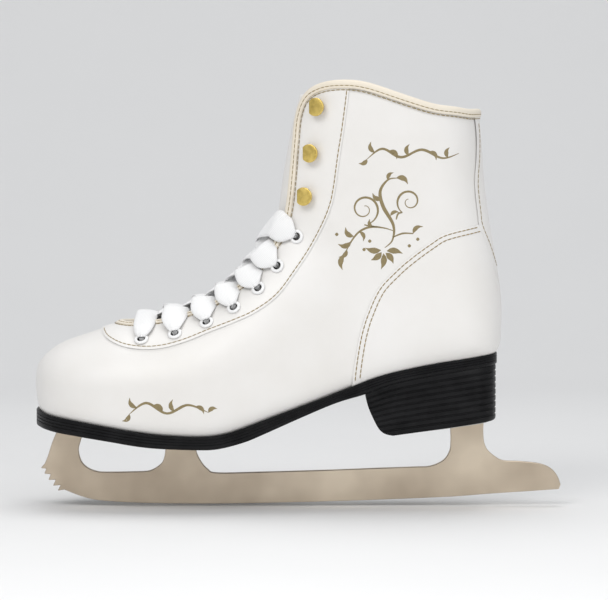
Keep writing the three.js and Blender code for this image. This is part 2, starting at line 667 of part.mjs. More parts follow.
// A piece turned round its own +Z, given as [radius, height] points, and the same made to bore its hole.
function turned(profile, segments) {
  const geometry = new THREE.LatheGeometry(profile.map(([r, z]) => new THREE.Vector2(r, z)), segments);
  geometry.rotateX(Math.PI / 2);
  return geometry;
}
function stoodOn(geometry, point, direction) {
  const turn = new THREE.Quaternion().setFromUnitVectors(new THREE.Vector3(0, 0, 1), direction);
  geometry.applyQuaternion(turn);
  geometry.translate(point.x, point.y, point.z);
  return geometry;
}
const pinProfile = (radius, low, high) => [[0, low], [radius, low], [radius, high], [0, high]];

const gripOut = overlayOut + seatGap; // where a flange starts outside the facing, and inside it
const gripIn = shellIn - seatGap;
const facingReach = 6; // of a cutter, past both faces of the facing
const eyeletProfile = [
  [eyeletBoreRadius, gripIn - eyeletFlangeThickness],
  [eyeletFlangeRadius, gripIn],
  [eyeletBarrelRadius, gripIn],
  [eyeletBarrelRadius, gripOut],
  [eyeletFlangeRadius, gripOut],
  [eyeletBoreRadius, gripOut + eyeletFlangeThickness],
  [eyeletBoreRadius, gripIn - eyeletFlangeThickness],
];
const hookProfile = [
  [0, gripIn - hookFlangeThickness],
  [hookBaseRadius - 1, gripIn - hookFlangeThickness],
  [hookBaseRadius - 1, gripIn],
  [hookStemRadius, gripIn],
  [hookStemRadius, gripOut],
  [hookBaseRadius, gripOut],
  [hookBaseRadius, gripOut + hookFlangeThickness],
  [hookStemRadius, gripOut + 2 * hookFlangeThickness],
  [hookStemRadius, overlayOut + hookRise],
  [0, overlayOut + hookRise],
];

// A hole through the facing.
function cutHole(point, normal, radius) {
  const corner = (radius + clearance) / Math.cos(Math.PI / boreSegments);
  const profile = pinProfile(corner, -facingReach, facingReach);
  const cutter = solidOf(stoodOn(turned(profile, boreSegments), point, normal));
  upperShell = upperShell.subtract(cutter);
  eyestay = eyestay.subtract(cutter);
}

const eyelets = [];
const hooks = [];
for (const [name, side] of [['outer', -1], ['inner', 1]]) {
  placed(eyeletPlaces).forEach(([x, z], k) => {
    const { point, normal } = seatOn(x, z, side, eyeletFlangeRadius);
    eyelets.push({ name: `eyelet_${name}_${k + 1}`, side, k, point, normal });
    cutHole(point, normal, eyeletBarrelRadius);
  });
  placed(hookPlaces).forEach(([x, z], k) => {
    const { point, normal } = seatOn(x, z, side, hookBaseRadius);
    const stem = solidOf(stoodOn(turned(hookProfile, roundSegments), point, normal));
    hooks.push({ name: `hook_${name}_${k + 1}`, side, point, normal, stem });
    cutHole(point, normal, hookStemRadius);
  });
}

// The head of a hook is a round plate with a flat front, whose wider part reaches back over the lace.
function hookSolid({ point, normal, stem }) {
  const outline = new THREE.Shape();
  outline.absarc(0, 0, hookHeadRadius, -hookHeadTurn, hookHeadTurn, false);
  const cut = { depth: hookHeadThickness, bevelEnabled: false, curveSegments: 5 };
  const head = new THREE.ExtrudeGeometry(outline, cut);
  const away = new THREE.Vector3(1, 0, 0).addScaledVector(normal, -normal.x).normalize();
  const basis = new THREE.Matrix4().makeBasis(away, normal.clone().cross(away), normal);
  head.translate(hookHeadForward, 0, overlayOut + hookRise - hookHeadSink);
  head.applyMatrix4(basis);
  head.translate(point.x, point.y, point.z);
  return stem.add(solidOf(head));
}

// ---- screws ----

// A countersunk screw, standing on its flat head, which lies flush with the plate.
const screwProfile = (out) => [
  [0, -out],
  [screwHeadRadius + out, -out],
  [screwShankRadius + out, screwHeadHeight],
  [screwShankRadius + out, plateThickness + screwDepth],
  [0, plateThickness + screwDepth + screwTip + out],
];
const screws = [];
function addScrews(prefix, line, places) {
  let count = 0;
  for (const [x, half] of places) {
    for (const side of [-1, 1]) {
      count += 1;
      const here = x * stretchX;
      const slope = (heightAt(line, here + 2) - heightAt(line, here - 2)) / 4;
      const up = new THREE.Vector3(-slope, 0, 1).normalize();
      const head = new THREE.Vector3(here, side * half * stretchY, heightAt(line, here) + plateLow);
      const screw = solidOf(stoodOn(turned(screwProfile(0), roundSegments), head, up));
      const bore = solidOf(stoodOn(turned(screwProfile(clearance), roundSegments), head, up));
      screws.push({ name: `${prefix}_${count}`, screw, bore });
    }
  }
}
addScrews('toe_plate_screw', soleBottom, toeScrews);
addScrews('heel_plate_screw', heelFace, heelScrews);
for (const { bore } of screws) {
  outsole = outsole.subtract(bore);
  upperShell = upperShell.subtract(bore);
  insoleBoard = insoleBoard.subtract(bore);
  heelBlock = heelBlock.subtract(bore);
  toePlate = toePlate.subtract(bore);
  heelPlate = heelPlate.subtract(bore);
}

// ---- lace ----

// A flat strip through places, each with its outward direction, its half-width and its height off the place.
function strip(places) {
  const centres = places.map(({ point, out, off }) => point.clone().addScaledVector(out, off));
  const rings = places.map(({ out, half }, i) => {
    const before = centres[Math.max(0, i - 1)];
    const after = centres[Math.min(places.length - 1, i + 1)];
    const side = new THREE.Vector3().crossVectors(after.clone().sub(before), out).normalize();
    return [[1, -1], [1, 1], [-1, 1], [-1, -1]].map(([across, up]) => centres[i].clone()
      .addScaledVector(side, across * half)
      .addScaledVector(out, up * laceHalfThickness));
  });
  return solidOf(skin(rings));
}

const eyeletAt = (side, k) => eyelets.find((eyelet) => eyelet.side === side && eyelet.k === k);
const over = gripOut + eyeletFlangeThickness + 2 * clearance + laceHalfThickness; // on an eyelet's flange
const under = gripIn - eyeletFlangeThickness - clearance - laceHalfThickness; // under it
const overEdge = overlayOut + 2 * clearance + laceHalfThickness + laceArch;
const crownDepth = tongueOut + 2 * clearance + laceHalfThickness + laceArch; // where a strip crosses the tongue

// The throat's edge beside an eyelet: the section's t point is found where the section holds the eyelet.
function edgeBeside({ point, side }) {
  let nearest = null;
  for (let share = 0; share <= 1; share += 0.01) {
    const [first, last] = [throatGap[1][0], throatGap[throatGap.length - 1][0]];
    const x = (first + (last - first) * share) * stretchX;
    const section = sectionAt(x);
    const gap = gapAt(x);
    const edge = throatEdge(section, side, gap, 0);
    const distance = edge.point.distanceTo(point);
    if (!nearest || distance < nearest.distance) nearest = { ...edge, distance, section };
  }
  return nearest;
}
const gapAt = (x) => heightAt(throatGap.map(([px, half]) => [px * stretchX, half * stretchY]), x);
const middleOf = (sectionA, sectionB) => {
  const point = sectionA.t.clone().lerp(sectionB.t, 0.5);
  const out = sectionA.t.clone().sub(sectionA.b).add(sectionB.t.clone().sub(sectionB.b)).normalize();
  point.y = (sectionA.shift + sectionB.shift) / 2;
  return { point, out };
};

const strips = [];
const passages = [];
const lastRow = eyeletPlaces.length - 1;
for (const side of [-1, 1]) {
  for (let k = 0; k <= lastRow; k++) {
    const eyelet = eyeletAt(side, k);
    const edge = edgeBeside(eyelet);
    const inGap = throatEdge(edge.section, side, gapAt(edge.section.t.x), -laceLeadIn);
    const pin = pinProfile(laceRadius, under, over);
    passages.push(solidOf(stoodOn(turned(pin, boreSegments), eyelet.point, eyelet.normal)));
    const onFacing = [
      { ...inGap, off: overEdge, half: laceHalfWidth },
      { ...edge, off: overEdge + clearance, half: laceHalfWidth },
      { point: eyelet.point, out: eyelet.normal, off: over, half: laceHalfWidth * 0.5 },
    ];
    if (k === lastRow) {
      if (side === 1) continue;
      const across = eyeletAt(1, k);
      const farSide = edgeBeside(across);
      strips.push(strip([
        onFacing[2],
        onFacing[1],
        { ...middleOf(edge.section, farSide.section), off: overEdge - 1, half: laceHalfWidth },
        { ...farSide, off: overEdge + clearance, half: laceHalfWidth },
        { point: across.point, out: across.normal, off: over, half: laceHalfWidth * 0.5 },
      ]));
      continue;
    }
    const below = eyeletAt(-side, k + 1);
    const farEdge = edgeBeside(below);
    strips.push(strip([
      { point: below.point, out: below.normal, off: under, half: laceHalfWidth * 0.5 },
      { ...farEdge, off: under, half: laceHalfWidth * 0.8 },
      { ...middleOf(edge.section, farEdge.section), off: crownDepth, half: laceHalfWidth * 0.9 },
      ...onFacing,
    ]));
  }
}
let lace = strips[0];
for (const piece of strips.slice(1)) lace = lace.add(piece);
const bindingRoom = layer(overlayOut + clearance, stiffenerOut - clearance)
  .intersect(throatSolid(bindingWidth + clearance))
  .subtract(throatSolid(-clearance));
lace = lace.subtract(bindingRoom);
for (const piece of passages) lace = lace.add(piece);

// A round cord through points.
function cordThrough(points, radius) {
  const curve = new THREE.CatmullRomCurve3(points, false, 'centripetal');
  const section = new THREE.Shape().absarc(0, 0, radius, 0, 2 * Math.PI, false);
  const steps = Math.max(4, Math.round(curve.getLength() / (6 * radius)));
  const path = { steps, extrudePath: curve, bevelEnabled: false, curveSegments: 4 };
  return solidOf(new THREE.ExtrudeGeometry(section, path));
}
const tails = [];
for (const [name, side] of [['outer', -1], ['inner', 1]]) {
  const { point, normal } = eyeletAt(side, 0);
  const leadStart = point.clone().addScaledVector(normal, under + laceRadius);
  const stretched = ([x, y, z]) => new THREE.Vector3(x * stretchX, y * stretchY, z * stretchZ);
  const lead = [leadStart, ...laceLeads[name].map(stretched)];
  lace = lace.add(cordThrough(lead, tailRadius));
  const route = tailRoutes[name].map((p) => new THREE.Vector3(...p));
  tails.push({ name: `lace_tail_${name}`, piece: cordThrough(route, tailRadius), material: laceCloth });
  const end = route[route.length - 1];
  const aim = new THREE.Vector3(...agletEnds[name]).sub(end).normalize();
  const agletStart = end.clone().addScaledVector(aim, clearance);
  const pin = turned(pinProfile(agletRadius, 0, agletLength), boreSegments);
  const aglet = solidOf(stoodOn(pin, agletStart, aim));
  tails.push({ name: `aglet_${name}`, piece: aglet, material: clearPlastic });
}

// ---- the assembly ----

const skate = new THREE.Group();
function add(name, piece, material) {
  const mesh = new THREE.Mesh(piece.isBufferGeometry ? piece : geometryOf(piece), material);
  mesh.name = name;
  skate.add(mesh);
}

add('blade', blade, steel);
add('toe_plate', toePlate, plateSteel);
add('heel_plate', heelPlate, plateSteel);
for (const { name, screw } of screws) add(name, screw, plateSteel);
add('outsole', outsole, blackSole);
add('heel_block', heelBlock, blackSole);
add('steel_shank', shank, plateSteel);
add('insole_board', insoleBoard, board);
add('sock_insole', sock, liningCloth);
add('upper_shell', upperShell, whiteLeather);
add('eyestay', eyestay, whiteLeather);
add('counter_overlay', counterOverlay, whiteLeather);
add('back_strip', backStrip, whiteLeather);
add('collar_binding', binding, creamTape);
add('toe_puff', toePuff, board);
add('counter_stiffener', counterStiffener, board);
add('ankle_padding', anklePadding, foam);
add('lining', lining, liningCloth);
add('tongue_lower', tongueLower, whiteLeather);
add('tongue_upper', tongueUpper, whiteLeather);
for (const { name, point, normal } of eyelets) {
  add(name, solidOf(stoodOn(turned(eyeletProfile, roundSegments), point, normal)), whiteEnamel);
}
for (const hook of hooks) add(hook.name, hookSolid(hook), gold);
add('lace', lace, laceCloth);
for (const { name, piece, material } of tails) add(name, piece, material);

export default skate;
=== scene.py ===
import math
import bpy
import bmesh
import numpy as np
from mathutils import Matrix, Vector
from mathutils.bvhtree import BVHTree


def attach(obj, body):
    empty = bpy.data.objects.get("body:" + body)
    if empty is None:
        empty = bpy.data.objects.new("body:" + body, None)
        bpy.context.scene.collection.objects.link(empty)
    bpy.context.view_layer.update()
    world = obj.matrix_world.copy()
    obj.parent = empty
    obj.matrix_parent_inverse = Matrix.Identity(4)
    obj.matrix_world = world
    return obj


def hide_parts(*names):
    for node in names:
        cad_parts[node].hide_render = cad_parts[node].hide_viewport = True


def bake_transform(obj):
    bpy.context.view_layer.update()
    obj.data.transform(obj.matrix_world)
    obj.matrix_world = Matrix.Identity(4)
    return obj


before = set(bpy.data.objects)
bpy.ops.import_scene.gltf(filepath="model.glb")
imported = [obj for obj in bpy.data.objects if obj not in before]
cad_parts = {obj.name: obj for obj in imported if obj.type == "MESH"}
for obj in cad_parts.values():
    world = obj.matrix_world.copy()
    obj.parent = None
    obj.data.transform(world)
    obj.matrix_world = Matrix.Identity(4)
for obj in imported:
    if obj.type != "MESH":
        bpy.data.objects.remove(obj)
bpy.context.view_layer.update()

mm = 0.001  # lines and sections below are in millimetres, meshes in metres
scene = bpy.context.scene
far = 400  # past every side of the boot

# The camera stands well back, on the outer side of the skate.
cameraSetup = dict(place=(0.054, -1.8, 0.2), aim=(0.0546, 0, 0.1105), lens=197)
cameraData = bpy.data.cameras.new("camera")
cameraData.lens = cameraSetup["lens"]
cameraData.sensor_width = 36
camera = bpy.data.objects.new("camera", cameraData)
scene.collection.objects.link(camera)
camera.location = cameraSetup["place"]
toAim = Vector(cameraSetup["aim"]) - camera.location
camera.rotation_euler = toAim.to_track_quat("-Z", "Y").to_euler()
scene.camera = camera
print("camera placed")


# ---- materials ----
def newMaterial(name, color, roughness, metallic=0.0, sheen=0.0, coat=0.0, coatRoughness=0.03, specular=0.5):
    material = bpy.data.materials.new(name)
    material.use_nodes = True
    shader = material.node_tree.nodes["Principled BSDF"]
    for socket, value in (
            ("Base Color", (*color, 1)), ("Roughness", roughness), ("Metallic", metallic), ("Sheen Weight", sheen),
            ("Coat Weight", coat), ("Coat Roughness", coatRoughness), ("Specular IOR Level", specular)):
        shader.inputs[socket].default_value = value
    return material, material.node_tree, shader


# One output of a new node, whose inputs are set to values or linked to other outputs.
def nodeIn(tree, kind, output, inputs, **settings):
    node = tree.nodes.new("ShaderNode" + kind)
    for key, value in settings.items():
        setattr(node, key, value)
    for key, value in inputs.items():
        if isinstance(value, bpy.types.NodeSocket):
            tree.links.new(value, node.inputs[key])
        else:
            node.inputs[key].default_value = value
    return node.outputs[output]


def placeIn(tree, stretch=(1, 1, 1), source="Object"):
    return nodeIn(tree, "Mapping", "Vector", {"Vector": nodeIn(tree, "TexCoord", source, {}), "Scale": stretch})


def noiseIn(tree, vector, scale, detail=3.0, roughness=0.5):
    return nodeIn(tree, "TexNoise", "Fac",
                  {"Vector": vector, "Scale": scale, "Detail": detail, "Roughness": roughness})


def waveIn(tree, vector, scale, direction):
    return nodeIn(tree, "TexWave", "Fac", {"Vector": vector, "Scale": scale}, bands_direction=direction)


def colorBy(tree, shader, value, stops):
    ramp = tree.nodes.new("ShaderNodeValToRGB")
    for element, (position, color) in zip(ramp.color_ramp.elements, stops):
        element.position = position
        element.color = (*color, 1)
    tree.links.new(value, ramp.inputs["Fac"])
    tree.links.new(ramp.outputs["Color"], shader.inputs["Base Color"])


def roughnessBy(tree, shader, value, low, high):
    spread = nodeIn(tree, "MapRange", "Result", {"Value": value, "To Min": low, "To Max": high})
    tree.links.new(spread, shader.inputs["Roughness"])


def bumpOn(tree, shader, height, strength, distance, **under):
    bump = nodeIn(tree, "Bump", "Normal", {"Strength": strength, "Distance": distance, "Height": height, **under})
    tree.links.new(bump, shader.inputs["Normal"])
    return bump


def leatherMaterial(name, pale, deep, roughness, grain=900, depth=0.00006):
    material, tree, shader = newMaterial(name, pale, roughness, coat=0.06, coatRoughness=0.3, specular=0.4)
    vector = placeIn(tree)
    colorBy(tree, shader, noiseIn(tree, vector, 18, 4, 0.55), [(0.3, deep), (0.62, pale)])
    roughnessBy(tree, shader, noiseIn(tree, vector, 60), roughness - 0.06, roughness + 0.08)
    pores = nodeIn(tree, "TexVoronoi", "Distance", {"Vector": vector, "Scale": grain}, feature="DISTANCE_TO_EDGE")
    creases = bumpOn(tree, shader, noiseIn(tree, vector, 240, 5, 0.6), 0.12, depth * 2)
    bumpOn(tree, shader, pores, 0.25, depth, Normal=creases)
    return material


def steelMaterial(name, dark, light, roughness, stretch=(12, 12, 900)):
    material, tree, shader = newMaterial(name, light, roughness, metallic=1.0)
    fine = noiseIn(tree, placeIn(tree, stretch), 1.0, 4, 0.6)
    colorBy(tree, shader, noiseIn(tree, placeIn(tree), 22, 3, 0.5), [(0.3, dark), (0.7, light)])
    roughnessBy(tree, shader, fine, roughness - 0.05, roughness + 0.12)
    bumpOn(tree, shader, fine, 0.2, 0.00002)
    return material


def clothMaterial(name, color, shade, threads, roughness=0.85, source="Object"):
    material, tree, shader = newMaterial(name, color, roughness, sheen=0.25)
    vector = placeIn(tree, source=source)
    warp = waveIn(tree, vector, threads, "X")
    weft = waveIn(tree, vector, threads, "Y" if source == "UV" else "Z")
    weave = nodeIn(tree, "Math", "Value", {0: warp, 1: weft}, operation="MULTIPLY")
    colorBy(tree, shader, weave, [(0.0, shade), (0.55, color)])
    roughnessBy(tree, shader, noiseIn(tree, vector, threads * 0.2), roughness - 0.08, roughness + 0.06)
    bumpOn(tree, shader, weave, 0.35, 0.00012)
    return material


# One noise drives the colour and the roughness, and the same or a fine one the bump.
def wornMaterial(name, stops, roughness, more, noise, bump, fine=None, **finish):
    material, tree, shader = newMaterial(name, stops[1][1], roughness, **finish)
    vector = placeIn(tree)
    worn = noiseIn(tree, vector, *noise)
    colorBy(tree, shader, worn, stops)
    roughnessBy(tree, shader, worn, roughness - more[0], roughness + more[1])
    bumpOn(tree, shader, noiseIn(tree, vector, *fine) if fine else worn, *bump)
    return material


def blackMaterial(name, color, roughness):
    dusty = tuple(c * 1.9 + 0.004 for c in color)
    return wornMaterial(name, [(0.35, color), (0.8, dusty)], roughness, (0.05, 0.14), (90, 5, 0.65), (0.12, 0.00004),
                        fine=(900, 2), coat=0.02, coatRoughness=0.18, specular=0.1)


def speckMaterial(name, color, shade, scale, roughness, depth=0.00008, specular=0.3, coat=0.0):
    return wornMaterial(name, [(0.35, shade), (0.65, color)], roughness, (0.05, 0.05), (scale, 4, 0.65), (0.3, depth),
                        specular=specular, coat=coat)


whiteLeather = leatherMaterial("whiteLeather", (0.80, 0.785, 0.765), (0.755, 0.735, 0.705), 0.42)
panelLeather = leatherMaterial("panelLeather", (0.81, 0.795, 0.775), (0.77, 0.75, 0.72), 0.4)
tongueLeather = leatherMaterial("tongueLeather", (0.80, 0.785, 0.76), (0.75, 0.73, 0.70), 0.46, 700)
creamTape = leatherMaterial("creamTape", (0.81, 0.745, 0.635), (0.76, 0.685, 0.565), 0.5, 1200, 0.00004)
stitchThread = clothMaterial("stitchThread", (0.36, 0.27, 0.12), (0.24, 0.175, 0.075), 900)
goldPrint = speckMaterial("goldPrint", (0.27, 0.215, 0.105), (0.22, 0.17, 0.08), 700, 0.4, 0.00002, 0.5)
bladeSteel = steelMaterial("bladeSteel", (0.46, 0.375, 0.285), (0.74, 0.635, 0.50), 0.34)
plateSteel = steelMaterial("plateSteel", (0.52, 0.51, 0.49), (0.64, 0.63, 0.6), 0.4, (60, 60, 60))
soleBlack = blackMaterial("soleBlack", (0.0055, 0.0055, 0.006), 0.28)
heelBlack = blackMaterial("heelBlack", (0.006, 0.006, 0.0065), 0.34)
hookGold = wornMaterial("hookGold", [(0.3, (0.62, 0.45, 0.12)), (0.6, (0.82, 0.62, 0.19))], 0.33, (0.06, 0.12),
                        (420, 4, 0.6), (0.12, 0.00003), fine=(1500, 2), metallic=1.0)
eyeletEnamel = speckMaterial("eyeletEnamel", (0.86, 0.86, 0.86), (0.80, 0.80, 0.80), 900, 0.3, 0.00002, 0.5, 0.3)
# painted shade: a near-black material for the insides of the eyelet barrels, which are white enamel that lies in shadow
paintedEyeletShade = speckMaterial("paintedEyeletShade", (0.035, 0.033, 0.03), (0.02, 0.019, 0.018), 900, 0.5)
laceWeave = clothMaterial("laceWeave", (0.88, 0.88, 0.88), (0.79, 0.79, 0.79), 420, 0.8, "UV")
liningCloth = speckMaterial("liningCloth", (0.76, 0.71, 0.62), (0.66, 0.61, 0.52), 2600, 0.9, 0.00012, 0.15)
sockCloth = speckMaterial("sockCloth", (0.74, 0.70, 0.62), (0.60, 0.56, 0.48), 2200, 0.92, 0.00015, 0.12)
fibreBoard = speckMaterial("fibreBoard", (0.50, 0.38, 0.22), (0.36, 0.26, 0.14), 1200, 0.85)
softFoam = speckMaterial("softFoam", (0.74, 0.72, 0.67), (0.55, 0.53, 0.48), 1800, 0.95, 0.0002)
clearFilm = speckMaterial("clearFilm", (0.82, 0.82, 0.8), (0.74, 0.74, 0.72), 600, 0.2, 0.00003, 0.6, 0.4)
stagePaper = speckMaterial("stagePaper", (0.80, 0.80, 0.80), (0.79, 0.79, 0.79), 3, 0.75, 0.00001)
print("materials made")

# Solid pieces that stay as they are take a finish.
keptFinishes = {
    "toe_plate": plateSteel, "heel_plate": plateSteel, "steel_shank": plateSteel,
    "insole_board": fibreBoard, "sock_insole": sockCloth,
    "aglet_outer": clearFilm, "aglet_inner": clearFilm,
}
keptFinishes.update({node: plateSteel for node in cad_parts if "screw" in node})
for node, material in keptFinishes.items():
    slots = bpy.data.objects[node].material_slots
    if not slots:
        bpy.data.objects[node].data.materials.append(material)
    for slot in slots:
        slot.material = material


# ---- mesh helpers ----
def meshPiece(name, points, faces, material):
    mesh = bpy.data.meshes.new(name)
    mesh.from_pydata([tuple(float(c) * mm for c in p) for p in points], [], faces)
    mesh.validate()
    piece = bpy.data.objects.new(name, mesh)
    scene.collection.objects.link(piece)
    mesh.materials.append(material)
    return piece


def selectOnly(*pieces):
    if bpy.context.object and bpy.context.object.mode != "OBJECT":
        bpy.ops.object.mode_set(mode="OBJECT")
    bpy.ops.object.select_all(action="DESELECT")
    for piece in pieces:
        piece.select_set(True)
    bpy.context.view_layer.objects.active = pieces[0]


def applied(piece, kind, **settings):
    selectOnly(piece)
    modifier = piece.modifiers.new(kind, kind)
    for key, value in settings.items():
        setattr(modifier, key, value)
    bpy.ops.object.modifier_apply(modifier=modifier.name)
    return piece


def cutBy(piece, tool, operation="DIFFERENCE"):
    applied(piece, "BOOLEAN", operation=operation, solver="MANIFOLD", object=tool)
    bpy.data.objects.remove(tool)
    return piece


def recalculated(piece):
    shape = bmesh.new()
    shape.from_mesh(piece.data)
    bmesh.ops.recalc_face_normals(shape, faces=shape.faces)
    if shape.calc_volume(signed=True) < 0:
        bmesh.ops.reverse_faces(shape, faces=shape.faces)
    shape.to_mesh(piece.data)
    shape.free()
    return piece


def finished(piece, *nodes, slot=None, body="root", angle=40):
    selectOnly(piece)
    bpy.ops.object.shade_smooth_by_angle(angle=math.radians(angle))
    if body:
        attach(piece, body)
    if nodes:
        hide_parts(*nodes)
    print(piece.name, len(piece.data.polygons), "faces")
    return piece


# A closed skin over rings of equally many points; each end is closed by a fan.
def skinOf(name, rings, material, loop=False):
    count = len(rings[0])
    points = [p for ring in rings for p in ring]
    faces = []
    last = len(rings) if loop else len(rings) - 1
    for i in range(last):
        a, b = i * count, ((i + 1) % len(rings)) * count
        for j in range(count):
            k = (j + 1) % count
            faces.append((a + j, a + k, b + k, b + j))
    if not loop:
        for end in (0, len(rings) - 1):
            points.append(np.mean(rings[end], axis=0))
            for j in range(count):
                k = (j + 1) % count
                pair = (end * count + j, end * count + k)
                faces.append((len(points) - 1, *(pair[::-1] if end == 0 else pair)))
    return recalculated(meshPiece(name, points, faces, material))


# A cutter between two copies of one outline.
def cutterOf(first, second):
    n = len(first)
    faces = [tuple(range(n)), tuple(range(2 * n - 1, n - 1, -1))]
    faces += [(j, n + j, n + (j + 1) % n, (j + 1) % n) for j in range(n)]
    return recalculated(meshPiece("cutter", first + second, faces, stagePaper))


def acrossY(outline):
    return cutterOf(*([(x, y, z) for x, z in outline] for y in (-far, far)))


def upZ(outline):
    return cutterOf(*([(x, y, z) for x, y in outline] for z in (-far, far)))


# A smooth line through points of any number of values, with step points on each stretch.
def smoothLine(points, step=6, closed=False):
    p = np.array(points, float)
    n = len(p)
    made = []
    for i in range(n if closed else n - 1):
        if closed:
            a, b, c, d = (p[(i + k) % n] for k in (-1, 0, 1, 2))
        else:
            a, b, c, d = (p[min(max(i + k, 0), n - 1)] for k in (-1, 0, 1, 2))
        for k in range(step):
            t = k / step
            made.append(0.5 * (2 * b + (c - a) * t + (2 * a - 5 * b + 4 * c - d) * t * t
                               + (3 * b - a - 3 * c + d) * t ** 3))
    if not closed:
        made.append(p[-1])
    return np.array(made)


def walkedAlong(points):
    return np.concatenate([[0], np.cumsum(np.linalg.norm(np.diff(points, axis=0), axis=1))])


def placesAt(at, walked, points):
    return np.stack([np.interp(at, walked, points[:, k]) for k in range(points.shape[1])], axis=-1)


def evenly(points, spacing, closed=False):
    p = np.array(points, float)
    if closed:
        p = np.vstack([p, p[:1]])
    walked = walkedAlong(p)
    count = max(2, int(round(walked[-1] / spacing)) + 1)
    made = placesAt(np.linspace(0, walked[-1], count), walked, p)
    return made[:-1] if closed else made


def unit(v):
    v = np.asarray(v, float)
    return v / np.maximum(np.linalg.norm(v, axis=-1, keepdims=True), 1e-12)


def heightAt(line, x):
    line = np.array(line)
    return np.interp(x, line[:, 0], line[:, 1])


def movedLine(line, distance):
    line = np.array(line, float)
    run = unit(np.gradient(line, axis=0))
    return line + np.stack([-run[:, 1], run[:, 0]], axis=1) * distance


# ---- the boot's surface ----
# Each section: t point x z, b point x z, half-width, shift, fullness of t half and b half, widest.
sections = np.array([
    (-89.6, 76, -88.6, 50.5, 15, 7, 2.2, 3, 0.5),
    (-85, 81.5, -84, 47.4, 25, 6.5, 2.2, 4, 0.46),
    (-76, 87.6, -76, 45.6, 33, 5.5, 2.1, 5, 0.44),
    (-61, 93, -64, 43.8, 39, 4, 2, 6, 0.42),
    (-45, 98, -50, 41.9, 42, 2.5, 1.95, 7, 0.42),
    (-28, 101.5, -34, 39.6, 43.5, 1.2, 1.85, 7, 0.42),
    (-10, 107, -17, 37.8, 44, 0.2, 1.8, 7, 0.42),
    (5, 114, 3, 37.2, 43, -0.5, 1.8, 7, 0.42),
    (16, 122.5, 24, 42.2, 40, -1, 1.85, 7, 0.43),
    (24, 132, 50, 51.9, 36.5, -1.2, 1.9, 7, 0.44),
    (29, 142, 80, 63.6, 34.5, -0.8, 2, 7, 0.45),
    (32, 151, 112, 73, 34, -0.3, 2.1, 6, 0.46),
    (33.8, 158, 146, 79.4, 34, 0, 2.15, 4.5, 0.47),
    (35, 165, 158.3, 84.2, 34, 0, 2.2, 3.3, 0.48),
    (36, 173, 160.4, 97, 34.2, 0, 2.2, 2.8, 0.5),
    (37, 181, 160.4, 112, 34.5, 0, 2.2, 2.5, 0.5),
    (38.6, 191, 157.8, 131, 35, 0, 2.2, 2.4, 0.5),
    (40.3, 201, 154, 153, 36, 0, 2.2, 2.35, 0.5),
    (42.2, 211, 151.2, 175, 37, 0, 2.2, 2.3, 0.5),
    (44.5, 221, 149.7, 195, 38, 0, 2.2, 2.3, 0.5),
    (48, 232, 148.3, 215, 39, 0, 2.2, 2.3, 0.5),
    (51.5, 243, 148, 236, 39.5, 0, 2.2, 2.3, 0.5),
])
toePole = np.array([-91.1, 7, 67])
surfaceSetup = dict(perStation=5, quarter=34, capRings=4)
fineRows = smoothLine(sections, surfaceSetup["perStation"])
quarterTurns = 0.5 - 0.5 * np.cos(np.pi * (0.5 - 0.5 * np.cos(np.pi * np.linspace(0, 1, 300))))


# Points of a section from t to its widest place and on to b, evenly spaced, on one side.
def halfRing(row, side, quarter):
    tx, tz, bx, bz, half, shift, fullT, fullB, widest = row
    top, bottom = np.array([tx, 0, tz]), np.array([bx, 0, bz])
    made = []
    for full, share, sign in ((fullT, 1 - widest, 1), (fullB, widest, -1)):
        turn = quarterTurns * np.pi / 2
        rise = np.abs(np.cos(turn)) ** (2 / full) * share * sign
        wide = np.abs(np.sin(turn)) ** (2 / full) * half
        line = bottom + (top - bottom) * (widest + rise)[:, None]
        line[:, 1] = shift + side * wide
        if sign < 0:
            line = line[::-1]
        walked = walkedAlong(line)
        line = placesAt(np.linspace(0, walked[-1], quarter + 1), walked, line)
        made.append(line if sign > 0 else line[1:])
    return np.vstack(made)


def wholeRing(row, quarter=surfaceSetup["quarter"]):
    inner = halfRing(row, 1, quarter)
    outer = halfRing(row, -1, quarter)
    return np.vstack([inner, outer[-2:0:-1]])


bodyGrid = np.array([wholeRing(row) for row in fineRows])
capShares = np.linspace(0, 1, surfaceSetup["capRings"] + 1)[1:-1]
capGrid = []
for share in capShares:  # the blunt end of the toe
    ring = toePole + (bodyGrid[0] - toePole) * share
    ring[:, 0] = toePole[0] + (bodyGrid[0][:, 0] - toePole[0]) * share ** 2
    capGrid.append(ring)
grid = np.vstack([np.array(capGrid), bodyGrid])
along = np.gradient(grid, axis=0)
roundWay = np.roll(grid, -1, axis=1) - np.roll(grid, 1, axis=1)
gridNormals = unit(np.cross(along, roundWay))
ringCount = grid.shape[1]


def bootSolid(out, name="cutter", material=stagePaper):
    rings = grid + gridNormals * out
    points = [tuple(toePole + (-out, 0, 0))] + [tuple(p) for p in rings.reshape(-1, 3)]
    faces = []
    n = ringCount
    for j in range(n):
        faces.append((0, 1 + j, 1 + (j + 1) % n))
    for i in range(len(rings) - 1):
        for j in range(n):
            a, b = 1 + i * n, 1 + (i + 1) * n
            faces.append((a + j, b + j, b + (j + 1) % n, a + (j + 1) % n))
    points.append(tuple(np.mean(rings[-1], axis=0)))
    a = 1 + (len(rings) - 1) * n
    for j in range(n):
        faces.append((len(points) - 1, a + (j + 1) % n, a + j))
    return recalculated(meshPiece(name, points, faces, material))


def layerPiece(name, outer, inner, material):
    return cutBy(bootSolid(outer, name, material), bootSolid(inner))


wallFaces = []
for start in range(0, (len(grid) - 1) * ringCount, ringCount):
    for j in range(ringCount):
        k = (j + 1) % ringCount
        wallFaces.append((start + j, start + ringCount + j, start + ringCount + k, start + k))
wallTree = BVHTree.FromPolygons([tuple(p) for p in grid.reshape(-1, 3)], wallFaces)


def wallPoint(x, z, side):
    hit = wallTree.ray_cast(Vector((x, side * far, z)), Vector((0, -side, 0)))
    if hit[0] is None:
        return None, None
    normal = np.array(hit[1])
    return np.array(hit[0]), normal if normal[1] * side > 0 else -normal


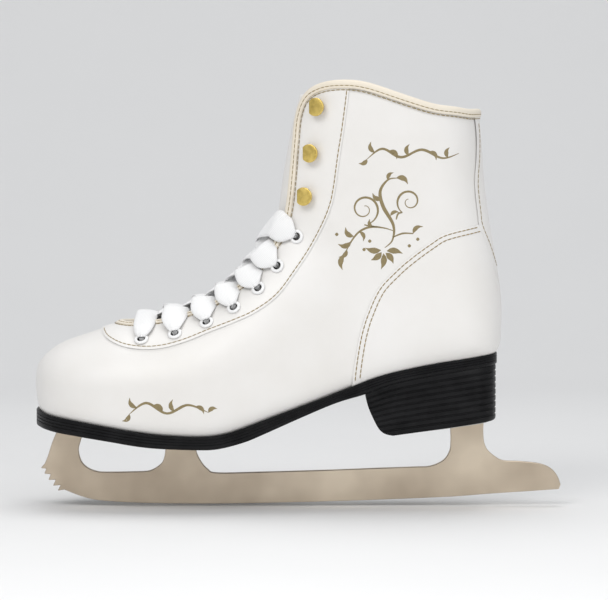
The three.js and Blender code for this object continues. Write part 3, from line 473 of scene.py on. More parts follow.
# A side-view line laid on the boot's wall, with the wall's outward direction along it.
def onWall(line, side, spacing):
    places, outs = [], []
    for x, z in evenly(line, spacing):
        point, out = wallPoint(x, z, side)
        if point is not None:
            places.append(point)
            outs.append(out)
    return np.array(places), unit(np.array(outs))


print("surface made", grid.shape)


# ---- lines of the boot, seen from the side ----
soleTopLine = smoothLine([
    (-91, 52.4), (-82.8, 49.8), (-70.4, 47.9), (-58.1, 46), (-41.5, 43.1), (-24.9, 40.8), (-8.4, 39.8), (3.9, 39.8),
    (12.2, 40.8), (20.5, 43.4), (30.2, 47.1), (68, 61), (89.6, 69.6), (102.5, 73.4), (123.1, 77.6), (141.2, 80.3),
    (157.6, 82.8), (164, 83.6)])
soleBottomLine = smoothLine([
    (-91, 43), (-79.5, 40.8), (-66.3, 39.2), (-49.8, 36.9), (-33.2, 34.3), (-20, 33.2), (-0.2, 32.6), (8.1, 32.9),
    (16.4, 34.6), (24.6, 37.1), (30.2, 39.4), (68, 55.6), (86.6, 61.5), (102, 67), (123, 71.2), (141, 74), (164, 77.5)])
heelBottomLine = np.array([(80, 36.44), (102, 39.4), (158.5, 46.6), (170, 48.1)])
heelBreast = smoothLine([
    (87.5, 100), (87.5, 66), (87.6, 60), (89, 54.5), (91.6, 48.5), (94.5, 43.2), (97.6, 40.6), (102, 39.4)], 4)
heelBack = [(160.2, 46.8), (159.6, 52), (159.3, 60), (159.6, 100)]
collarLine = smoothLine([
    (44.4, 190), (48.4, 206), (52.4, 216.9), (54.8, 221.5), (59.2, 225.3), (67.5, 228.3), (80.5, 228.7), (90.3, 226.8),
    (101.6, 223), (113, 219.2), (124.4, 215.8), (135.8, 214.5), (146, 212.6), (170, 209)])
eyestayLine = smoothLine([
    (80, 240), (78.4, 223.8), (75.9, 204), (73.6, 189), (71.3, 172), (69.2, 162.3), (65.1, 152), (58.4, 139.3),
    (50.9, 128), (40.8, 114.6), (28.6, 105.6), (16.4, 100), (4.3, 95.3), (-7.9, 90.4), (-19.3, 87.1), (-29.8, 86),
    (-40.3, 87), (-48, 89.6), (-52.5, 92.6), (-55, 97), (-56, 103)])
counterLine = smoothLine([
    (165, 156), (147, 151.6), (130, 147.6), (121.5, 142.8), (110, 134.3), (102.4, 127.5), (94, 118.3), (88, 105.5),
    (84.4, 94), (81.7, 79), (80.2, 66), (79, 50)])
backStripLine = smoothLine([
    (143, 226), (146.7, 204), (147, 189), (146, 174), (147.5, 158.6), (148.6, 151), (153.2, 139.6), (160, 120),
    (168, 104)])
throatGap = np.array([
    (-43, 1), (-42, 6), (-39, 10), (-34, 13), (-20, 15.5), (0, 17), (16, 18), (26, 19), (33, 20), (42, 21), (51.5, 22)])
eyeletPlaces = [(51, 145.4), (40.7, 129.7), (30.6, 117.8), (17.6, 107.4), (3, 99.3), (-14, 93.2), (-32, 90)]
hookPlaces = [(62.3, 214.5), (58.9, 190.2), (55.7, 167)]
depths = dict(overlay=0.8, overlayBack=0.02, shell=-2, padOut=-2.2, padIn=-3.4, liningOut=-3.5, liningIn=-5.4)
bindingSetup = dict(under=2.2, spacing=1.5)
throatSetup = dict(quarter=60, above=24, below=13, lead=9, liningGap=22)

rowAcross = np.array([row[0] for row in fineRows])


def rowAt(x):
    i = np.clip(np.searchsorted(rowAcross, x), 1, len(rowAcross) - 1)
    share = (x - rowAcross[i - 1]) / (rowAcross[i] - rowAcross[i - 1])
    return fineRows[i - 1] + (fineRows[i] - fineRows[i - 1]) * share


def wallWalk(row, side):
    line = halfRing(row, side, throatSetup["quarter"])
    upper = throatSetup["quarter"] + 1  # the points down to the widest place
    walked = walkedAlong(line)
    return line, walked, np.abs(line[:, 1] - row[5])[:upper], walked[:upper]


# The place on a section a gap off the middle and grow further round, with its outward direction.
def throatEdge(row, side, gap, grow):
    line, walked, off, upper = wallWalk(row, side)
    at = max(np.interp(max(gap, 0.01), off, upper) + grow, 0.05)
    run = placesAt(at + 0.5, walked, line) - placesAt(at - 0.5, walked, line)
    lift = np.array([row[0] - row[2], 0, row[1] - row[3]])
    out = unit(np.cross(run, np.cross(lift, (0, 1, 0))))
    return placesAt(at, walked, line), out if out @ lift > 0 else -out


gapLine = np.vstack([smoothLine(throatGap[:5], 4)[:-1], smoothLine(throatGap[4:], 3)])
leadShares = np.clip(1 - (gapLine[:, 0] - gapLine[0, 0]) / throatSetup["lead"], 0, 1)  # 1 at the toe end


def throatSolid(grow):
    above, below = throatSetup["above"], throatSetup["below"]
    rings = []
    for (x, gap), lead in zip(gapLine, leadShares):
        row = rowAt(x - grow * lead)
        lift = unit([row[0] - row[2], 0, row[1] - row[3]])
        roof = np.array([row[0], row[5], row[1]]) + lift * above
        (left, leftOut), (right, rightOut) = (throatEdge(row, side, gap, grow) for side in (-1, 1))
        rings.append([left - leftOut * below, left + leftOut * above / 2, roof,
                      right + rightOut * above / 2, right - rightOut * below])
    return skinOf("cutter", rings, stagePaper)


def collarSolid(grow):
    line = movedLine(collarLine, -grow)
    return acrossY([*line, (line[-1][0], far), (-far, far), (-far, line[0][1])])


def eyestaySide(grow):
    line = movedLine(eyestayLine, grow)
    return acrossY([*line, (line[-1][0], far), (line[0][0], far)])


def counterSide(grow):
    line = movedLine(counterLine, grow)
    return acrossY([*line, (line[-1][0], -far), (far, -far), (far, line[0][1])])


def backStripSide(grow):
    line = movedLine(backStripLine, -grow)
    return acrossY([*line, (far, line[-1][1]), (far, line[0][1])])


def trimmed(piece, grow):
    cutBy(piece, throatSolid(grow))
    return cutBy(piece, collarSolid(grow))


def bandOver(line, low, high):
    line = np.array(line)
    return acrossY([*(line + (0, low)), *(line + (0, high))[::-1]])


bootFloor = np.array([(-far, 50.5), *[(row[2], row[3]) for row in sections[:13]], (far, 86.2)])

# ---- soft layers ----
layerSetup = dict(
    binding=2.6, sock=7.9, toeBoxEnd=-57, cupStart=100, cupTop=122, padLow=122.2, padGap=3.5, bevel=0.32)


def overlayPiece(name):
    return trimmed(layerPiece(name, depths["overlay"], depths["overlayBack"], panelLeather), bindingSetup["under"])


def stiffener(name, room):
    piece = layerPiece(name, depths["padOut"], depths["padIn"], fibreBoard)
    cutBy(piece, acrossY(room), "INTERSECT")
    return cutBy(piece, bandOver(bootFloor, -far, layerSetup["sock"]))


upperLeather = trimmed(layerPiece("upperLeather", 0, depths["shell"], whiteLeather), bindingSetup["under"])
eyestayPanel = cutBy(overlayPiece("eyestayPanel"), eyestaySide(0), "INTERSECT")
counterPanel = cutBy(overlayPiece("counterPanel"), counterSide(0), "INTERSECT")
cutBy(counterPanel, backStripSide(depths["overlayBack"]))
cutBy(counterPanel, acrossY([*(soleTopLine - (0, 1.5)), (far, -far), (-far, -far)]))
heelStrip = cutBy(overlayPiece("heelStrip"), backStripSide(0), "INTERSECT")
for panel in (eyestayPanel, counterPanel, heelStrip):  # cut edges are a little rounded
    applied(panel, "BEVEL", width=layerSetup["bevel"] * mm, segments=2, limit_method="ANGLE",
            angle_limit=math.radians(50))
innerLining = layerPiece("innerLining", depths["liningOut"], depths["liningIn"], liningCloth)
for tool in (throatSolid(throatSetup["liningGap"]), collarSolid(layerSetup["binding"]),
             bandOver(bootFloor, -far, layerSetup["sock"])):
    cutBy(innerLining, tool)
toeBoxEnd, cupStart, cupTop = layerSetup["toeBoxEnd"], layerSetup["cupStart"], layerSetup["cupTop"]
toeBox = stiffener("toeBox", [(-far, -far), (toeBoxEnd, -far), (toeBoxEnd, far), (-far, far)])
heelCup = stiffener("heelCup", [(cupStart, -far), (far, -far), (far, cupTop), (cupStart, cupTop)])
anklePad = trimmed(layerPiece("anklePad", depths["padOut"], depths["padIn"], softFoam), layerSetup["padGap"])
cutBy(anklePad, acrossY([(-far, layerSetup["padLow"]), (far, layerSetup["padLow"]), (far, far), (-far, far)]),
      "INTERSECT")
cutBy(anklePad, eyestaySide(0.4))
for piece, node, slot in (
        (upperLeather, "upper_shell", "white_leather"), (eyestayPanel, "eyestay", "white_leather"),
        (counterPanel, "counter_overlay", "white_leather"), (heelStrip, "back_strip", "white_leather"),
        (innerLining, "lining", "lining_cloth"), (toeBox, "toe_puff", "fibre_board"),
        (heelCup, "counter_stiffener", "fibre_board")):
    finished(piece, node, slot=slot)
finished(anklePad, "ankle_padding", slot="foam")
print("layers cut")


# ---- the rolled edge of collar and facings, one closed loop ----
def collarPoints(side):
    places = []
    half = ringCount // 2
    for j in range(half + 1):
        column = bodyGrid[:, j if side > 0 else (ringCount - j) % ringCount]
        over = column[:, 2] - heightAt(collarLine, column[:, 0])
        over[column[:, 0] < collarLine[0][0]] = -1
        rows = np.nonzero((over[:-1] < 0) & (over[1:] >= 0))[0]
        if len(rows) == 0:
            continue
        i = rows[-1]
        share = over[i] / (over[i] - over[i + 1])
        point = column[i] + (column[i + 1] - column[i]) * share
        gap = heightAt(throatGap, rowAcross[i])
        if abs(point[1]) > gap + 0.2:
            places.append(point)
    return places


def facingPoints(side):
    places = []
    for x, gap in gapLine:
        point = throatEdge(rowAt(x), side, gap, 0)[0]
        if point[2] < heightAt(collarLine, point[0]) - 0.2 or point[0] < collarLine[0][0]:
            places.append(point)
    return places


def settled(places, rounds):  # a closed line, each point drawn to its neighbours
    p = np.array(places)
    for _ in range(rounds):
        p = 0.5 * p + 0.25 * (np.roll(p, 1, axis=0) + np.roll(p, -1, axis=0))
    return p


outerSide = facingPoints(-1) + collarPoints(-1)
innerSide = facingPoints(1) + collarPoints(1)
edgeLoop = evenly(outerSide + innerSide[::-1], bindingSetup["spacing"], closed=True)
edgeLoop = evenly(settled(edgeLoop, 8), bindingSetup["spacing"], closed=True)
found = [wallTree.find_nearest(Vector(place)) for place in edgeLoop]
edgePlaces, edgeOuts = (np.array([np.array(hit[k]) for hit in found]) for k in (0, 1))
middle = grid.mean(axis=1)
for k, place in enumerate(edgePlaces):  # outwards from the section's middle
    nearest = middle[np.argmin(np.linalg.norm(middle - place, axis=1))]
    if edgeOuts[k] @ (place - nearest) < 0:
        edgeOuts[k] = -edgeOuts[k]
edgeOuts = unit(settled(edgeOuts, 10))
edgeRuns = unit(np.roll(edgePlaces, -1, axis=0) - np.roll(edgePlaces, 1, axis=0))
edgeBacks = unit(np.cross(edgeRuns, edgeOuts))  # in the wall, away from the opening
onFacing = (edgePlaces[:, 2] < 195) & (np.abs(edgePlaces[:, 1]) > 12)
if np.mean(edgeBacks[onFacing, 1] * np.sign(edgePlaces[onFacing, 1])) < 0:
    edgeBacks = -edgeBacks
isCollar = 1 / (1 + np.exp(-(edgePlaces[:, 2] - 212) / 3))  # 0 on the facings, 1 on the collar
isCollar = settled(isCollar[:, None], 10)[:, 0]
rollProfile = [
    (4.4, 0.7), (4.35, 1.1), (4.0, 1.45), (3.2, 1.6), (2.9, 1.52), (2.4, 1.75), (1.4, 1.8), (0.45, 1.4),
    (-0.15, 0.7), (-0.35, -0.3), (-0.3, -1.4), (0.05, -2.4), (0.8, -3.0), (1.7, -3.2), (2.7, -3.1), (3.3, -2.8),
    (3.5, -2.4), (3.3, -2.1), (2.4, -2.0),
    (2.2, -0.6), (2.4, 0.6), (3.2, 0.9)]
rings = []
for place, out, back, share in zip(edgePlaces, edgeOuts, edgeBacks, isCollar):
    ring = []
    for across, up in rollProfile:
        deep = up if up > -0.8 else -0.8 + (up + 0.8) * (1 + 1.15 * share)
        ring.append(place + back * across + out * deep)
    rings.append(ring)
edgeRoll = skinOf("edgeRoll", rings, creamTape, loop=True)
finished(edgeRoll, "collar_binding", slot="cream_tape", angle=60)
print("edge rolled")


# ---- stitches ----
stitchSetup = dict(
    long=2.45, wide=0.62, high=0.4, pitch=2.8, lift=0.05, collarGap=5.2, soleGap=1, stripGap=1.0,
    edgeRows=(("edgeStitchUpper", 2.75, 1.52), ("edgeStitchLower", 5.1, 0.82)))  # name, how far back, how high
selectOnly(edgeRoll)
bpy.ops.object.select_all(action="DESELECT")
bpy.ops.mesh.primitive_cylinder_add(vertices=6, radius=0.5, depth=1, rotation=(0, math.pi / 2, 0))
stitchShape = bpy.context.object
bpy.ops.object.transform_apply(location=False, rotation=True, scale=True)
bpy.ops.object.mode_set(mode="EDIT")
bpy.ops.mesh.select_all(action="SELECT")
bpy.ops.mesh.subdivide(number_cuts=1)
bpy.ops.object.mode_set(mode="OBJECT")
stitchPoints = np.array([v.co for v in stitchShape.data.vertices])
stitchPoints[:, 1:] *= (1 - 0.45 * (2 * np.abs(stitchPoints[:, :1])) ** 2)  # the ends dip into the leather
stitchFaces = [tuple(f.vertices) for f in stitchShape.data.polygons]
bpy.data.objects.remove(stitchShape)


def stitchRow(name, places, outs, body="root"):
    points, faces = [], []
    walked = walkedAlong(places)
    for k in range(int(walked[-1] / stitchSetup["pitch"])):
        at = (k + 0.5) * stitchSetup["pitch"]
        point = placesAt(at, walked, places)
        out = unit(placesAt(at, walked, outs))
        run = unit(placesAt(at + 0.6, walked, places) - point)
        across = unit(np.cross(out, run))
        size = (stitchSetup["long"], stitchSetup["wide"], stitchSetup["high"])
        start = len(points)
        for a, b, c in stitchPoints * size:
            points.append(point + run * a + across * b + out * (c + stitchSetup["high"] * 0.1))
        faces += [tuple(start + i for i in face) for face in stitchFaces]
    return finished(recalculated(meshPiece(name, points, faces, stitchThread)), body=body)


for name, back, up in stitchSetup["edgeRows"]:
    places = edgePlaces + edgeBacks * back + edgeOuts * up
    stitchRow(name, *(np.vstack([values, values[:1]]) for values in (places, edgeOuts)))


def insideBoot(p):
    low = heightAt(soleTopLine, p[0]) + stitchSetup["soleGap"]
    return low < p[2] < heightAt(collarLine, p[0]) - stitchSetup["collarGap"]


def aheadOfStrip(p):
    return insideBoot(p) and p[0] < heightAt(backStripLine[::-1, ::-1], p[2]) - stitchSetup["stripGap"]


for name, line, beside, test in (
        ("eyestayStitch", eyestayLine, -0.9, insideBoot), ("counterStitchFirst", counterLine, 1.1, aheadOfStrip),
        ("counterStitchSecond", counterLine, 3.6, aheadOfStrip),
        ("heelStripStitch", backStripLine, 1.1, insideBoot)):
    for side, word in ((-1, "Outer"), (1, "Inner")):
        places, outs = onWall(movedLine(line, beside), side, 1.2)
        keep = np.array([test(p) for p in places])
        places += outs * (depths["overlay"] + stitchSetup["lift"])
        stitchRow(name + word, places[keep], outs[keep])
print("stitched")


# ---- sole and heel ----
soleSetup = dict(lip=1.8, heelInset=0.6, groove=0.35, stations=150, spacing=1.5, rounds=6, plateGap=0.3)
heelSetup = dict(layers=9, groove=0.55)


def awayFrom(ring):
    run = unit(np.roll(ring, -1, axis=0) - np.roll(ring, 1, axis=0))
    return np.stack([run[:, 1], -run[:, 0]], axis=1)


# The boot's outline from below, lip wider: places along it, and its two sides there.
def footOutline(lip, stations):
    places = {-1: [], 1: []}
    for x in np.linspace(-92, 164, 700):
        z = heightAt(soleTopLine, x) + 0.5
        walls = [wallPoint(x, z, side)[0] for side in (-1, 1)]
        if walls[0] is None or walls[1] is None:
            continue
        places[-1].append((x, walls[0][1]))
        places[1].append((x, walls[1][1]))
    loop = settled(evenly(np.vstack([places[-1], places[1][::-1]]),
                          soleSetup["spacing"], closed=True), soleSetup["rounds"])
    away = awayFrom(loop)
    if np.mean(np.sum(away * (loop - loop.mean(axis=0)), axis=1)) < 0:
        away = -away
    loop = loop + away * lip
    tip, end = np.argmin(loop[:, 0]), np.argmax(loop[:, 0])
    loop = np.roll(loop, -tip, axis=0)
    end = (end - tip) % len(loop)
    first, second = loop[:end + 1], np.vstack([loop[end:], loop[:1]])[::-1]
    low, high = (first, second) if first[:, 1].mean() < second[:, 1].mean() else (second, first)
    across = loop[0][0] + (loop[end][0] - loop[0][0]) * (0.5 - 0.5 * np.cos(np.linspace(0, np.pi, stations)))
    return across, np.interp(across, low[:, 0], low[:, 1]), np.interp(across, high[:, 0], high[:, 1])


# A block between two heights, whose wall follows levels of (share of the height, how far in).
def groovedBlock(name, outline, lowLine, highLine, levels, material, lift=0):
    across, low, high = outline
    ring = np.vstack([np.stack([across, low], axis=1), np.stack([across, high], axis=1)[::-1][1:-1]])
    away = awayFrom(ring)
    n = len(ring)
    points, faces = [], []
    for share, inset in levels:
        moved = ring - away * inset
        bottom, top = heightAt(lowLine, moved[:, 0]), heightAt(highLine, moved[:, 0]) + lift
        points += [(x, y, b + (t - b) * share) for (x, y), b, t in zip(moved, bottom, top)]
    for i in range(len(levels) - 1):
        for j in range(n):
            k = (j + 1) % n
            faces.append((i * n + j, i * n + k, (i + 1) * n + k, (i + 1) * n + j))
    for start in (0, (len(levels) - 1) * n):  # strips across the two ends
        for k in range(len(across) - 1):
            quad = [start + k, start + k + 1, start + (n - k - 1) % n, start + (n - k) % n]
            faces.append(tuple(dict.fromkeys(quad)))
    return recalculated(meshPiece(name, points, faces, material))


def grooves(shares, wide, narrow, depth):
    return [level for share in shares for level in (
        (share - wide, 0), (share - narrow, depth), (share + narrow, depth), (share + wide, 0))]


footLoop = footOutline(soleSetup["lip"], soleSetup["stations"])
soleLevels = [
    (0, 0.9), (0.03, 0.35), (0.09, 0.05), (0.16, 0),
    *grooves((0.36, 0.56, 0.76), 0.035, 0.012, soleSetup["groove"]),
    (0.88, 0), (0.95, 0.1), (0.985, 0.35), (1, 0.8)]
soleBand = groovedBlock("soleBand", footLoop, soleBottomLine, soleTopLine, soleLevels, soleBlack)
cutBy(soleBand, bootSolid(0.05))
plateOutlines = dict(
    toe=[(-79.5, 7), (-76, 12), (-64, 18), (-46, 21.5), (-28, 22), (-10, 19), (2, 12), (5, 6)],
    heel=[(105, 8), (108, 14), (115, 18), (134, 18), (147, 16), (152.5, 12), (154.5, 6)])


# Room for a plate let into the underside, a little wider than the plate.
def plateRoom(line, outline):
    wide = movedLine(outline, soleSetup["plateGap"])
    room = bandOver(line, -60, 1.5)
    return cutBy(room, upZ([*wide, *(wide * (1, -1))[::-1]]), "INTERSECT")


cutBy(soleBand, plateRoom(soleBottomLine, plateOutlines["toe"]))
finished(soleBand, "outsole", slot="black_sole", angle=30)

heelLoop = footOutline(soleSetup["lip"] - soleSetup["heelInset"], soleSetup["stations"])
heelShares = [k / heelSetup["layers"] for k in range(1, heelSetup["layers"])]
heelLevels = [
    (0, 0.8), (0.015, 0.3), (0.04, 0), *grooves(heelShares, 0.022, 0.008, heelSetup["groove"]), (0.97, 0), (1, 0.3)]
heelStack = groovedBlock("heelStack", heelLoop, heelBottomLine, soleBottomLine, heelLevels, heelBlack, lift=-0.05)
cutBy(heelStack, acrossY([*heelBreast, *heelBottomLine[2:3], *heelBack]), "INTERSECT")
cutBy(heelStack, plateRoom(heelBottomLine, plateOutlines["heel"]))
finished(heelStack, "heel_block", slot="black_sole", angle=30)
print("sole and heel made")

# ---- blade ----
bladeSetup = dict(thick=4.0, edge=0.3, plateLow=-1.0)
toePicks = [
    (-86.1, 21.7), (-88.2, 19.3), (-85.2, 19), (-86.3, 16.3), (-82.8, 15.9), (-84.1, 12.8), (-80.1, 13), (-81.6, 9.7),
    (-77.4, 10.1), (-79.1, 7), (-75.4, 7.6)]
runningEdge = smoothLine([
    (-71.3, 5.9), (-64.6, 3.5), (-56.4, 1.8), (-41.5, 0.7), (-24.9, 0.2), (-10, 0), (10, 0), (30.2, 0.3), (68, 1.2),
    (102.5, 2.4), (135.2, 3.8), (154.1, 5.3), (180, 7), (192.9, 7.9)], 3)
bladeTail = smoothLine([
    (193.8, 10.4), (192, 15.2), (188.6, 19.1), (182.5, 21.7), (172, 22.9), (162.8, 23.4), (158.4, 25.5), (154.1, 29.4),
    (152.2, 34), (151.8, 40)], 4)
rearWindow = smoothLine([
    (134.1, 38), (134.1, 33.7), (133.5, 28.5), (130, 23.4), (123.1, 20.4), (114.5, 19.9), (93.9, 19.2), (68, 18.2),
    (30.2, 17.1), (7.3, 16.7), (2.3, 18.8), (-1, 22.5), (-3.5, 27.4), (-4.2, 31)], 4)
frontWindow = smoothLine([
    (-20.5, 30), (-21.3, 24.9), (-23.3, 21.3), (-29.1, 17.9), (-37.4, 17.3), (-53.1, 17.1), (-58.1, 17.6), (-63, 19.6),
    (-66.3, 23.3), (-67.7, 29.1), (-66.6, 34)], 4)
bladeFront = smoothLine([(-80, 38), (-82, 33.2), (-84.1, 26.6), (-85.4, 23.2)], 3)


def underPlate(line, x):
    return (x, heightAt(line, x) + bladeSetup["plateLow"])


bladeOutline = [
    underPlate(soleBottomLine, -79.1), *bladeFront, *toePicks, *runningEdge, *bladeTail,
    underPlate(heelBottomLine, 152), underPlate(heelBottomLine, 133.9), *rearWindow,
    underPlate(soleBottomLine, -4.3), underPlate(soleBottomLine, -20.3), *frontWindow,
    underPlate(soleBottomLine, -65.4)]
half = bladeSetup["thick"] / 2
bladeMesh = meshPiece(
    "bladePlate", [(x, -half, z) for x, z in bladeOutline], [tuple(range(len(bladeOutline)))], bladeSteel)
selectOnly(bladeMesh)
bpy.ops.object.mode_set(mode="EDIT")
bpy.ops.mesh.select_all(action="SELECT")
bpy.ops.mesh.extrude_region_move(TRANSFORM_OT_translate={"value": (0, bladeSetup["thick"] * mm, 0)})
bpy.ops.mesh.select_all(action="SELECT")
bpy.ops.mesh.normals_make_consistent(inside=False)
bpy.ops.object.mode_set(mode="OBJECT")
applied(bladeMesh, "BEVEL", width=bladeSetup["edge"] * mm, segments=1, limit_method="ANGLE",
        angle_limit=math.radians(60))
finished(bladeMesh, "blade", slot="blade_steel", angle=30)
print("blade made")


# ---- eyelets and hooks, each turned once and copied ----
def turned(name, profile, steps):
    points = [(r * mm, 0, z * mm) for r, z in profile]
    mesh = bpy.data.meshes.new(name)
    n = len(points)
    closed = profile[0][0] > 0.001
    mesh.from_pydata(points, [(i, (i + 1) % n) for i in range(n if closed else n - 1)], [])
    piece = bpy.data.objects.new(name, mesh)
    scene.collection.objects.link(piece)
    selectOnly(piece)
    bpy.ops.object.mode_set(mode="EDIT")
    bpy.ops.mesh.select_all(action="SELECT")
    bpy.ops.mesh.spin(steps=steps, angle=2 * math.pi, center=(0, 0, 0), axis=(0, 0, 1))
    bpy.ops.mesh.select_all(action="SELECT")
    bpy.ops.mesh.remove_doubles(threshold=0.00001)
    bpy.ops.mesh.normals_make_consistent(inside=False)
    bpy.ops.object.mode_set(mode="OBJECT")
    return piece


def seatOn(x, z, side, radius):
    west, east = wallPoint(x - radius, z, side)[0], wallPoint(x + radius, z, side)[0]
    low, high = wallPoint(x, z - radius, side)[0], wallPoint(x, z + radius, side)[0]
    out = unit(np.cross(east - west, high - low))
    return wallPoint(x, z, side)[0], out if out[1] * side > 0 else -out


# A copy of a piece with its own mesh, its +Z along out and its +X away from the gap.
def stoodCopy(pattern, name, place, out, material):
    away = unit(np.array([1, 0, 0]) - out * out[0])
    turn = Matrix(np.stack([away, np.cross(out, away), out], axis=1).tolist()).to_4x4()
    mesh = pattern.data.copy()
    mesh.name = name
    mesh.transform(Matrix.Translation(Vector(place * mm)) @ turn)
    if len(mesh.materials) < 2:
        mesh.materials.clear()
        mesh.materials.append(material)
    piece = bpy.data.objects.new(name, mesh)
    scene.collection.objects.link(piece)
    return piece


eyeletSetup = dict(seat=3.9, barrel=2.15, hole=2.55, holeReach=6)
eyeletPattern = turned("eyeletPattern", [
    (2.1, -3.2), (2.1, 1.6), (2.25, 1.95), (2.6, 2.2), (3.1, 2.2), (3.6, 1.95), (3.85, 1.55), (3.8, 1.2),
    (2.6, 1.05), (2.6, -2.6), (3.7, -2.7), (3.75, -3.0), (3.4, -3.25)], 28)
for material in (eyeletEnamel, paintedEyeletShade):
    eyeletPattern.data.materials.append(material)
for face in eyeletPattern.data.polygons:  # painted shade inside the barrel: its inner faces take the near-black second material
    if math.hypot(face.center.x, face.center.y) < eyeletSetup["barrel"] * mm:
        face.material_index = 1
hookSetup = dict(head=4.9, forward=0.8, front=-2.9, low=4.2, high=5.5, bevel=0.38, seat=4)
hookStem = turned("hookStem", [
    (0, -3.4), (2.9, -3.4), (3.0, -3.1), (2.9, -2.8), (2.0, -2.7), (1.9, 1.1), (4.0, 1.15), (4.0, 1.5), (3.4, 1.9),
    (2.3, 2.3), (1.9, 3.0), (2.0, 4.0), (2.4, 4.6), (0, 4.6)], 24)
bpy.ops.object.select_all(action="DESELECT")
bpy.ops.mesh.primitive_cylinder_add(
    vertices=40, radius=hookSetup["head"] * mm, depth=(hookSetup["high"] - hookSetup["low"]) * mm,
    location=(hookSetup["forward"] * mm, 0, (hookSetup["high"] + hookSetup["low"]) / 2 * mm))
hookPattern = bpy.context.object
bpy.ops.object.transform_apply(location=True, rotation=True, scale=True)
bpy.ops.object.mode_set(mode="EDIT")
bpy.ops.mesh.select_all(action="SELECT")
bpy.ops.mesh.bisect(
    plane_co=(hookSetup["front"] * mm, 0, 0), plane_no=(-1, 0, 0), use_fill=True, clear_outer=True)
bpy.ops.object.mode_set(mode="OBJECT")
applied(hookPattern, "BEVEL", width=hookSetup["bevel"] * mm, segments=3, limit_method="ANGLE",
        angle_limit=math.radians(50))
selectOnly(hookPattern, hookStem)
bpy.ops.object.join()

seats = {}
for word, side in (("outer", -1), ("inner", 1)):
    for k, (x, z) in enumerate(eyeletPlaces):
        place, out = seatOn(x, z, side, eyeletSetup["seat"])
        seats[side, k] = (place, out)
        ring = stoodCopy(eyeletPattern, "eyelet" + word.title() + str(k + 1), place, out, eyeletEnamel)
        finished(ring, "eyelet_%s_%d" % (word, k + 1), slot="white_enamel")
    for k, (x, z) in enumerate(hookPlaces):
        place, out = seatOn(x, z, side, hookSetup["seat"])
        hook = stoodCopy(hookPattern, "hook" + word.title() + str(k + 1), place, out, hookGold)
        finished(hook, "hook_%s_%d" % (word, k + 1), slot="gold_metal", angle=35)
hole, reach = eyeletSetup["hole"], eyeletSetup["holeReach"]
drill = turned("drill", [(0, -reach), (hole, -reach), (hole, reach), (0, reach)], 20)
for place, out in seats.values():  # holes under the eyelets, so that each one looks dark inside
    for piece in (upperLeather, eyestayPanel):
        cutBy(piece, recalculated(stoodCopy(drill, "cutter", place, out, stagePaper)))
for pattern in (eyeletPattern, hookPattern, drill):
    bpy.data.objects.remove(pattern)
print("eyelets and hooks made")


# ---- tongue, one padded piece from the toe end of the throat to above the hooks ----
tongueSetup = dict(top=221, start=7, overlap=7.5, across=24, outer=-7.2, inner=-12.2, toeRise=4.3)
tongueRows = [(rowAt(x), max(heightAt(gapLine, x), 1)) for x in np.linspace(-43 - tongueSetup["start"], 46, 90)]
tongueRows = [(row, gap) for row, gap in tongueRows if row[1] < tongueSetup["top"] + 9]


def tongueRing(row, gap, taper, rise):
    top, bottom = [], []
    middleDepth = (tongueSetup["outer"] + tongueSetup["inner"]) / 2 + rise
    for share in np.linspace(-1, 1, tongueSetup["across"] + 1):
        side = -1 if share < 0 else 1
        _, _, off, upper = wallWalk(row, side)
        reach = np.interp(gap, off, upper) + tongueSetup["overlap"]
        point, out = throatEdge(row, side, 0.01, abs(share) * reach)
        crown = max(0.0, 1 - abs(share) ** 6) ** 0.5 * taper
        crown *= 1 - 0.22 * math.exp(-((abs(share) - 0.833) / 0.035) ** 2)  # the sewn channel near each edge
        halfThick = max(0.12, (tongueSetup["outer"] - tongueSetup["inner"]) / 2 * crown)
        top.append(point + out * (middleDepth + halfThick))
        bottom.append(point + out * (middleDepth - halfThick))
    return top + bottom[::-1]


tongueRings = []
for i, (row, gap) in enumerate(tongueRows):
    ends = min(1.0, (i + 1.6) / 3.0, (len(tongueRows) - 0.4 - i) / 3.0)
    taper = math.sqrt(max(0.02, 1 - (1 - ends) ** 2))
    rise = tongueSetup["toeRise"] / (1 + math.exp((row[0] + 34) / 3.5))  # close under the throat's toe end
    tongueRings.append(tongueRing(row, gap, taper, rise))
padTongue = skinOf("padTongue", tongueRings, tongueLeather)
tongueTop = tongueSetup["top"] + 0.5
cutBy(padTongue, acrossY([(-far, -far), (far, -far), (far, tongueTop), (-far, tongueTop)]), "INTERSECT")
finished(padTongue, "tongue_lower", "tongue_upper", slot="tongue_leather", body=None, angle=70)
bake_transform(padTongue)
tongueStitchAt = (2, 22)  # places round a ring, along the sewn channels
for word, j in zip(("Outer", "Inner"), tongueStitchAt):
    rows = np.array([(ring[j], ring[2 * tongueSetup["across"] + 1 - j]) for ring in tongueRings])
    rows = rows[rows[:, 0, 2] < tongueSetup["top"] - 3]
    seam = stitchRow("tongueStitch" + word, rows[:, 0], unit(rows[:, 0] - rows[:, 1]), body=None)
    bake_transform(seam)
print("tongue made")


# ---- lace ----
laceSetup = dict(petal=7.6, upperPetal=0.93, knot=1.7, thick=0.9, across=12, over=2.9, under=-4.2, edge=3.9,
                 crown=-2.6, barRise=3.2)


# The throat's edge nearest to a place, with the section and the gap there.
def edgeBeside(side, place):
    best = None
    for x in np.linspace(-42.5, 51, 300):
        row, gap = rowAt(x), heightAt(gapLine, x)
        off = halfRing(row, side, 8)
        point = np.array([np.interp(gap, np.abs(off[:, 1] - row[5])[:9], off[:9, k]) for k in range(3)])
        distance = np.linalg.norm(point - place)
        if best is None or distance < best[0]:
            best = (distance, row, gap)
    return *best[1:], *throatEdge(best[1], side, best[2], 0)


